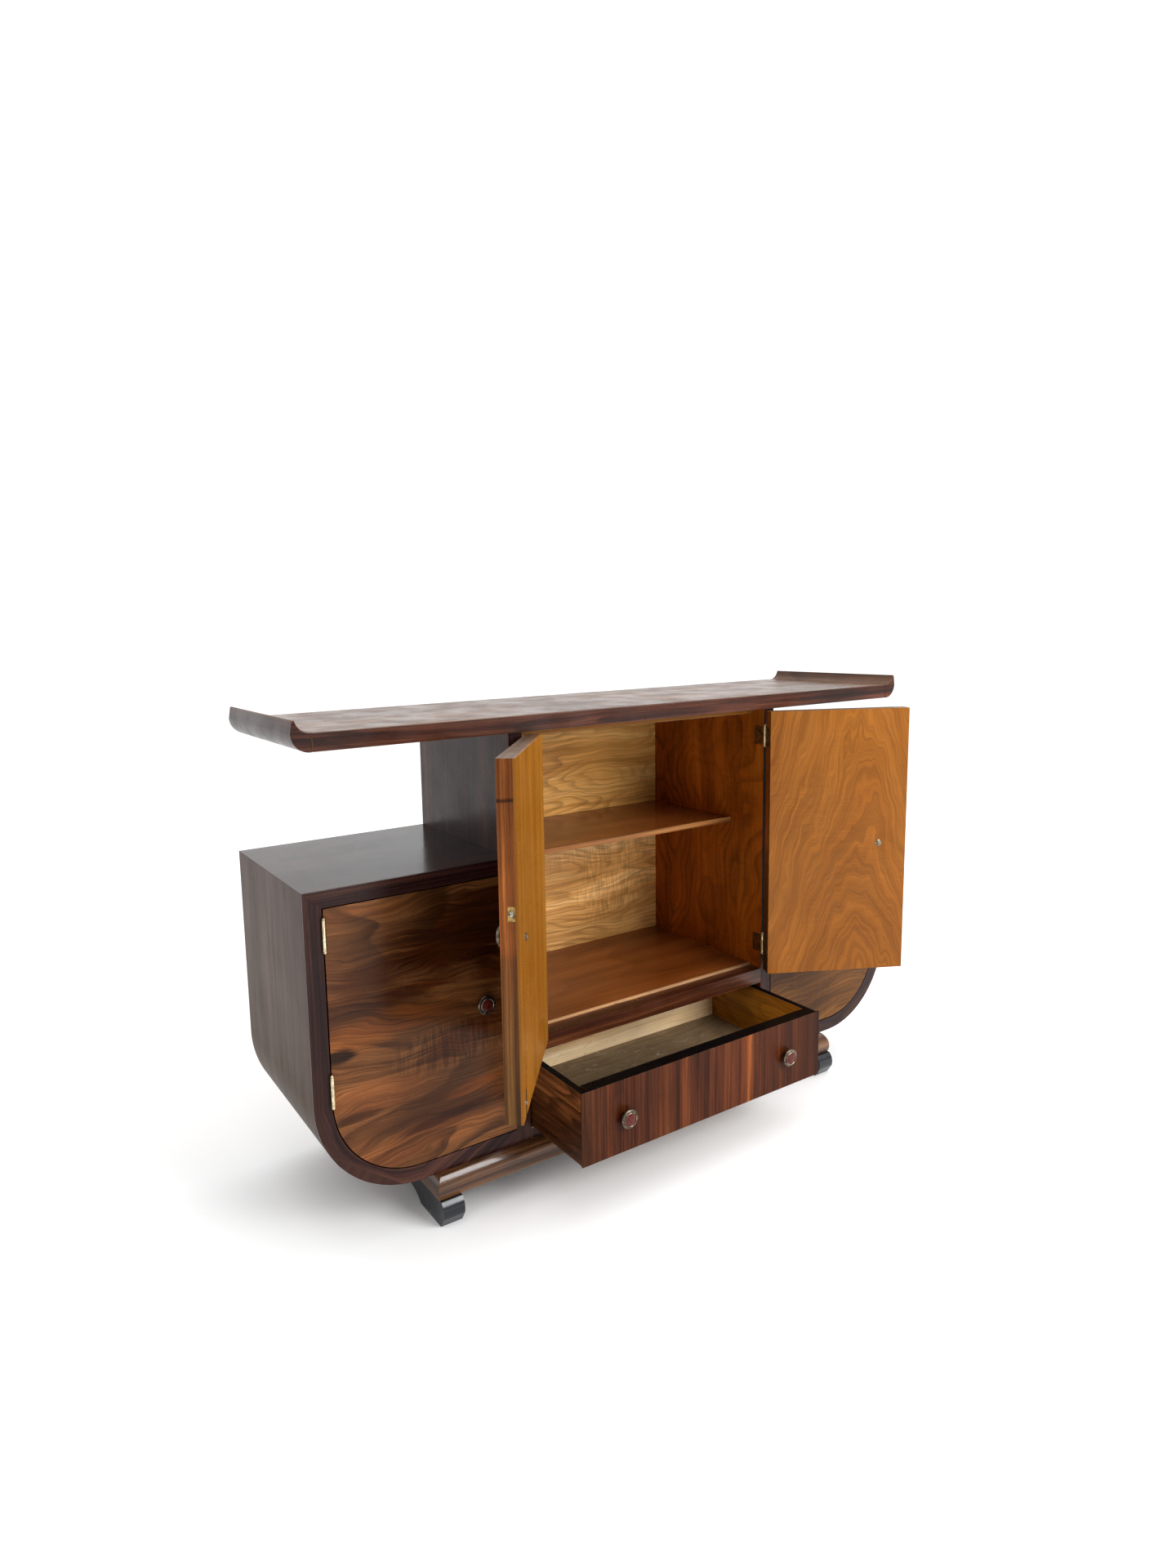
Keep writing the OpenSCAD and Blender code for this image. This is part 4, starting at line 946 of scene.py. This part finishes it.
class SIDEBOARD_OT_base(bpy.types.Operator):
    """Base: bottom board, mitred plinth, scroll feet and drawer runners"""
    bl_idname = "sideboard.base"
    bl_label = "Base"

    def moulding(self, node, along, across):
        piece = dressed(node, "polished_plinth", "worn_arris", width=0.8 * MM, edge_slot=1,
                        angle=SHARP_ONLY)
        lay_grain(piece, along, across)
        mount(piece, "carcass", node)

    def execute(self, context):
        board("base_board", X, Y, look="dark_edging")
        self.moulding("plinth_front", X, Z)
        self.moulding("plinth_left", Y, Z)
        self.moulding("plinth_right", Y, Z)
        board("plinth_rear", X, Z, look="walnut_case")
        feet = dressed("feet", "black_lacquer", width=1.6 * MM, angle=40)
        mount(feet, "carcass", "feet")
        runners = dressed("drawer_runners", "plain_plywood", width=THIN_EDGE, steps=2)
        lay_grain(runners, Y, X)
        mount(runners, "carcass", "drawer_runners")
        return {"FINISHED"}


class SIDEBOARD_OT_tower_doors(bpy.types.Operator):
    """Tower doors: walnut boards, honey linings, lock, bolts and plates"""
    bl_idname = "sideboard.tower_doors"
    bl_label = "Tower doors"

    def leaf(self, side, node, looks, slot, width):
        stand = hinge_of(side + "_tower_door_hinge")
        piece = copy_of(node)
        piece.data.transform(stand.inverted())
        coat(piece, *looks)
        eased(piece, width, edge_slot=1)
        low, high = closed_box(node, stand)
        lay_grain(piece, Z, X, (0, -(low.x + high.x) / 2, 0))
        if "door_edge" in looks:
            paint_faces(piece, 2, lambda c, n: max(abs(n.x), abs(n.z)) > FACING)
            lay_grain(piece, Z, Y, (0, SIDES[side], 0), where=lambda c, n: abs(n.x) > FACING)
            lay_grain(piece, X, Y, where=lambda c, n: abs(n.z) > FACING)
        piece.data.transform(stand)
        piece.data.update()
        mount(piece, side + "_tower_door", node)

    def door(self, side):
        self.leaf(side, "tower_door_" + side, ("door_walnut", "worn_arris", "door_edge"),
                  "figured_walnut", sizes().door_arris)
        lining = "honey_lining" if side == "left" else "swirled_lining"
        self.leaf(side, "tower_lining_" + side, (lining, lining), "honey_lining", THIN_EDGE)

    def execute(self, context):
        for side in SIDES:
            self.door(side)
        fitting("bolt_plate", "left_tower_door", "dark_steel")
        for node in ("escutcheon", "lock_case"):
            fitting(node, "left_tower_door", "lock_brass")
        fitting("strike_plate", "right_tower_door", "lock_brass")
        fitting("lock_bolt", "key_bolt", "steel")
        fitting("flush_bolt", "slide_bolt", "steel")
        return {"FINISHED"}


class SIDEBOARD_OT_wing_doors(bpy.types.Operator):
    """Wing doors with their bold figured veneer"""
    bl_idname = "sideboard.wing_doors"
    bl_label = "Wing doors"

    def execute(self, context):
        for side in SIDES:
            node = "wing_door_" + side
            # The left door's figured walnut holds painted shadow of the open tower door.
            look = "figured_walnut" if side == "left" else "golden_walnut"
            piece = dressed(node, look, "black_edge_and_gap_shade", width=DOOR_GAP_EDGE, steps=2,
                            angle=SHARP_ONLY)
            # The door's edges are painted near black, as painted shade in the gaps round the door.
            paint_faces(piece, 1, lambda c, n: abs(n.y) < 0.3)
            lay_grain(piece, X, Z)
            mount(piece, side + "_wing_door", node)
        return {"FINISHED"}


class SIDEBOARD_OT_drawer(bpy.types.Operator):
    """Drawer: front, sides, back and bottom"""
    bl_idname = "sideboard.drawer"
    bl_label = "Drawer"

    def execute(self, context):
        front = dressed("drawer_front", "striped_walnut", "worn_arris", "black_edge_and_gap_shade",
                        "drawer_lining", width=sizes().door_arris, edge_slot=1)
        paint_faces(front, 2, lambda c, n: n.z > FACING)
        paint_faces(front, 3, lambda c, n: n.y > FACING)
        lay_grain(front, Z, X)
        mount(front, "drawer", "drawer_front")
        for side, sign in SIDES.items():
            node = "drawer_side_" + side
            piece = plank(node, "drawer_side", "worn_arris", "black_edge_and_gap_shade", "drawer_lining",
                          width=sizes().arris)
            paint_faces(piece, 2, lambda c, n: n.z > FACING)
            paint_faces(piece, 3, lambda c, n: n.x * sign < -FACING)
            lay_grain(piece, Y, Z, (sign, 0, 0))
            mount(piece, "drawer", node)
        board("drawer_back", X, Z, body="drawer", look="pale_back_board", edge="pale_back_board")
        board("drawer_bottom", X, Y, body="drawer", look="drawer_bottom", edge="drawer_bottom",
              width=THIN_EDGE)
        return {"FINISHED"}


class SIDEBOARD_OT_knobs(bpy.types.Operator):
    """Knobs: turned discs on stems with a rubbed rim and a coloured inset"""
    bl_idname = "sideboard.knobs"
    bl_label = "Knobs"

    def middle(self, box, front):
        low, high = box
        return Vector(((low.x + high.x) / 2, front, (low.z + high.z) / 2))

    def knob(self, name, place, thick, body, node, turn=None):
        """One knob pointing to -Y from place, through a board of that thickness."""
        to_front = Matrix.Translation(place) @ Matrix.Rotation(math.radians(90), 4, "X")
        if turn:
            to_front = turn @ to_front
        back = -thick / MM
        parts = (
            ("nut", "nut_metal", [
                (0.8, back - 4.4), (3.0, back - 4.0), (4.2, back - 3.0), (4.6, back - 1.4),
                (6.6, back - 1.2), (7.3, back - 0.6), (7.3, back + 0.2)]),
            ("disc", "aged_knob_metal", [
                (3.0, back), (3.0, 0), (7.0, 0), (7.0, 1.0), (5.6, 1.8), (4.7, 3.2), (4.7, 6.4),
                (6.5, 7.8), (15.5, 8.0), (18.2, 8.8), (19.0, 10.4), (19.0, 11.6), (18.4, 12.9),
                (17.0, 13.8), (14.8, 14.1), (13.2, 13.7), (12.0, 13.6)]),
            ("rim", "rubbed_rim", [
                (14.0, 13.6), (14.0, 14.8), (13.6, 15.7), (13.0, 16.0), (12.4, 15.6), (12.2, 14.6),
                (12.2, 13.6)]),
            ("inset", "red_inset", [
                (12.2, 13.4), (12.2, 14.7), (10.5, 15.6), (7.5, 16.4), (3.5, 16.9), (0.6, 17.0)]),
        )
        for part, look, rings in parts:
            piece = turned(name + "." + part, rings)
            piece.data.transform(to_front)
            coat(piece, look)
            smooth(piece, 40)
            mount(piece, body, node)

    def execute(self, context):
        for side, sign in SIDES.items():
            node = "tower_knob_" + side
            stand = hinge_of(side + "_tower_door_hinge")
            front = closed_box("tower_door_" + side, stand)[0].y
            back = closed_box("tower_lining_" + side, stand)[1].y
            self.knob(node, self.middle(closed_box(node, stand), front), back - front,
                      side + "_tower_door", node, stand)
            node = "wing_knob_" + side
            low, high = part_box("wing_door_" + side)
            self.knob(node, self.middle(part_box(node), low.y), high.y - low.y,
                      side + "_wing_door", node)
            low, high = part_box("drawer_knobs")
            front, back = (corner.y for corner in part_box("drawer_front"))
            place = self.middle((low, high), front)
            place.x = (high.x - (high.z - low.z) / 2) * sign
            self.knob("drawer_knob_" + side, place, back - front, "drawer", "drawer_knobs")
        return {"FINISHED"}


class SIDEBOARD_OT_hinges(bpy.types.Operator):
    """Hinges: leaves, knuckles and ball ends"""
    bl_idname = "sideboard.hinges"
    bl_label = "Hinges"

    def execute(self, context):
        knuckle = 6 * MM
        axes = [Vector(JOINTS[side + "_tower_door_hinge"]["pos_m"]) for side in SIDES]
        leaves = [(kind + "_hinge_frame_leaves", "carcass") for kind in ("tower", "wing")]
        leaves += [(kind + "_hinge_leaves_" + side, side + "_" + kind + "_door")
                   for kind in ("tower", "wing") for side in SIDES]
        for node, body in leaves:
            piece = copy_of(node)
            coat(piece, "hinge_brass", "tarnish_and_gap_shade_brass")
            smooth(piece, 30)
            # Leaf faces away from the knuckles take the darker brass: partly tarnish, partly
            # painted shade of the narrow gap where the leaves sit.
            if node.startswith("tower"):
                paint_faces(piece, 1, lambda c, n: min(
                    math.hypot(c.x - axis.x, c.y - axis.y) for axis in axes) > knuckle)
            mount(piece, body, node)
        return {"FINISHED"}


class SIDEBOARD_OT_stage(bpy.types.Operator):
    """Pale floor, soft light and the camera"""
    bl_idname = "sideboard.stage"
    bl_label = "Stage"

    def camera(self):
        eye = Vector((-1234.8, -1459.7, 1113.4)) * MM + Y * FRONT
        yaw, pitch, roll = (math.radians(angle) for angle in (31.804, -7.882, -1.376))
        ahead = Vector((math.sin(yaw) * math.cos(pitch), math.cos(yaw) * math.cos(pitch),
                        math.sin(pitch)))
        right = Vector((math.cos(yaw), -math.sin(yaw), 0))
        up = right.cross(ahead)
        right, up = (math.cos(roll) * right + math.sin(roll) * up,
                     math.cos(roll) * up - math.sin(roll) * right)
        data = bpy.data.cameras.new("camera")
        data.lens = 21.16
        data.sensor_width = 36
        data.shift_x = 0.0442
        data.shift_y = -0.0196
        data.clip_start = 0.05
        camera = bpy.data.objects.new("camera", data)
        turn = Matrix((right, up, -ahead)).transposed().to_4x4()
        camera.matrix_world = Matrix.Translation(eye) @ turn
        bpy.context.scene.collection.objects.link(camera)
        bpy.context.scene.camera = camera

    def light(self, name, place, aim, size, power):
        data = bpy.data.lights.new(name, "AREA")
        data.shape = "RECTANGLE"
        data.size, data.size_y = size
        data.energy = power
        lamp = bpy.data.objects.new(name, data)
        away = (Vector(place) - Vector(aim)).normalized()
        lamp.matrix_world = (Matrix.Translation(place)
                             @ away.to_track_quat("Z", "Y").to_matrix().to_4x4())
        bpy.context.scene.collection.objects.link(lamp)

    def room(self, context):
        """Soft studio light: bright behind and above, dimmer in front."""
        world = bpy.data.worlds.new("studio")
        world.use_nodes = True
        tree = world.node_tree
        look = tree.nodes.new("ShaderNodeTexCoord").outputs["Generated"]
        facing = tree.nodes.new("ShaderNodeVectorMath")
        facing.operation = "DOT_PRODUCT"
        facing.inputs[1].default_value = (0.30, 0.75, 0.60)
        tree.links.new(look, facing.inputs[0])
        share = tree.nodes.new("ShaderNodeMapRange")
        share.interpolation_type = "SMOOTHSTEP"
        tree.links.new(facing.outputs["Value"], share.inputs["Value"])
        for key, value in (("From Min", -0.35), ("From Max", 0.15),
                           ("To Min", finishes().foreground), ("To Max", finishes().background)):
            share.inputs[key].default_value = value
        ground = tree.nodes["Background"]
        ground.inputs["Color"].default_value = (1, 1, 1, 1)
        tree.links.new(share.outputs["Result"], ground.inputs["Strength"])
        context.scene.world = world
        context.scene.view_settings.view_transform = "Standard"

    def execute(self, context):
        deselect()
        bpy.ops.mesh.primitive_plane_add(size=30, location=(0, 0, 0))
        floor = named("floor")
        s = Shader("studio_floor")
        cloud = s.noise(s.stretch(s.place(), (1.5, 1.5, 1.5)), 2.0)
        shade = s.mix(cloud, (0.93, 0.93, 0.93), (0.95, 0.95, 0.95))
        floor.data.materials.append(s.finish(shade, 0.9, specular=0.1))
        self.room(context)
        sun = bpy.data.lights.new("overhead", "SUN")
        sun.energy = 0.7
        sun.angle = math.radians(70)
        lamp = bpy.data.objects.new("overhead", sun)
        lamp.rotation_euler = (math.radians(4), math.radians(16), 0)
        context.scene.collection.objects.link(lamp)
        self.light("window", place=(1.5, -3.2, 2.3), aim=(0, 0, 0.4), size=(2.4, 1.8), power=150)
        self.camera()
        return {"FINISHED"}


OPERATORS = (
    SIDEBOARD_OT_stage, SIDEBOARD_OT_top, SIDEBOARD_OT_tower, SIDEBOARD_OT_wings,
    SIDEBOARD_OT_base, SIDEBOARD_OT_tower_doors, SIDEBOARD_OT_wing_doors, SIDEBOARD_OT_drawer,
    SIDEBOARD_OT_knobs, SIDEBOARD_OT_hinges)


class SIDEBOARD_PT_panel(bpy.types.Panel):
    """Lists the sideboard's settings and pieces"""
    bl_idname = "SIDEBOARD_PT_panel"
    bl_label = "Sideboard"
    bl_space_type = "VIEW_3D"
    bl_region_type = "UI"
    bl_category = "Sideboard"

    def draw(self, context):
        column = self.layout.column()
        for group in (context.scene.sideboard_sizes, context.scene.sideboard_finishes):
            for name in group.__annotations__:
                column.prop(group, name)
        for operator in OPERATORS:
            column.operator(operator.bl_idname)


CLASSES = (SideboardSizes, SideboardFinishes, *OPERATORS, SIDEBOARD_PT_panel)


def register():
    for item in CLASSES:
        bpy.utils.register_class(item)
    bpy.types.Scene.sideboard_sizes = bpy.props.PointerProperty(type=SideboardSizes)
    bpy.types.Scene.sideboard_finishes = bpy.props.PointerProperty(type=SideboardFinishes)


def unregister():
    del bpy.types.Scene.sideboard_finishes
    del bpy.types.Scene.sideboard_sizes
    for item in reversed(CLASSES):
        bpy.utils.unregister_class(item)


def main():
    register()
    for operator in OPERATORS:
        group, name = operator.bl_idname.split(".")
        getattr(getattr(bpy.ops, group), name)()
    bpy.context.view_layer.update()


if __name__ == "__main__":
    main()
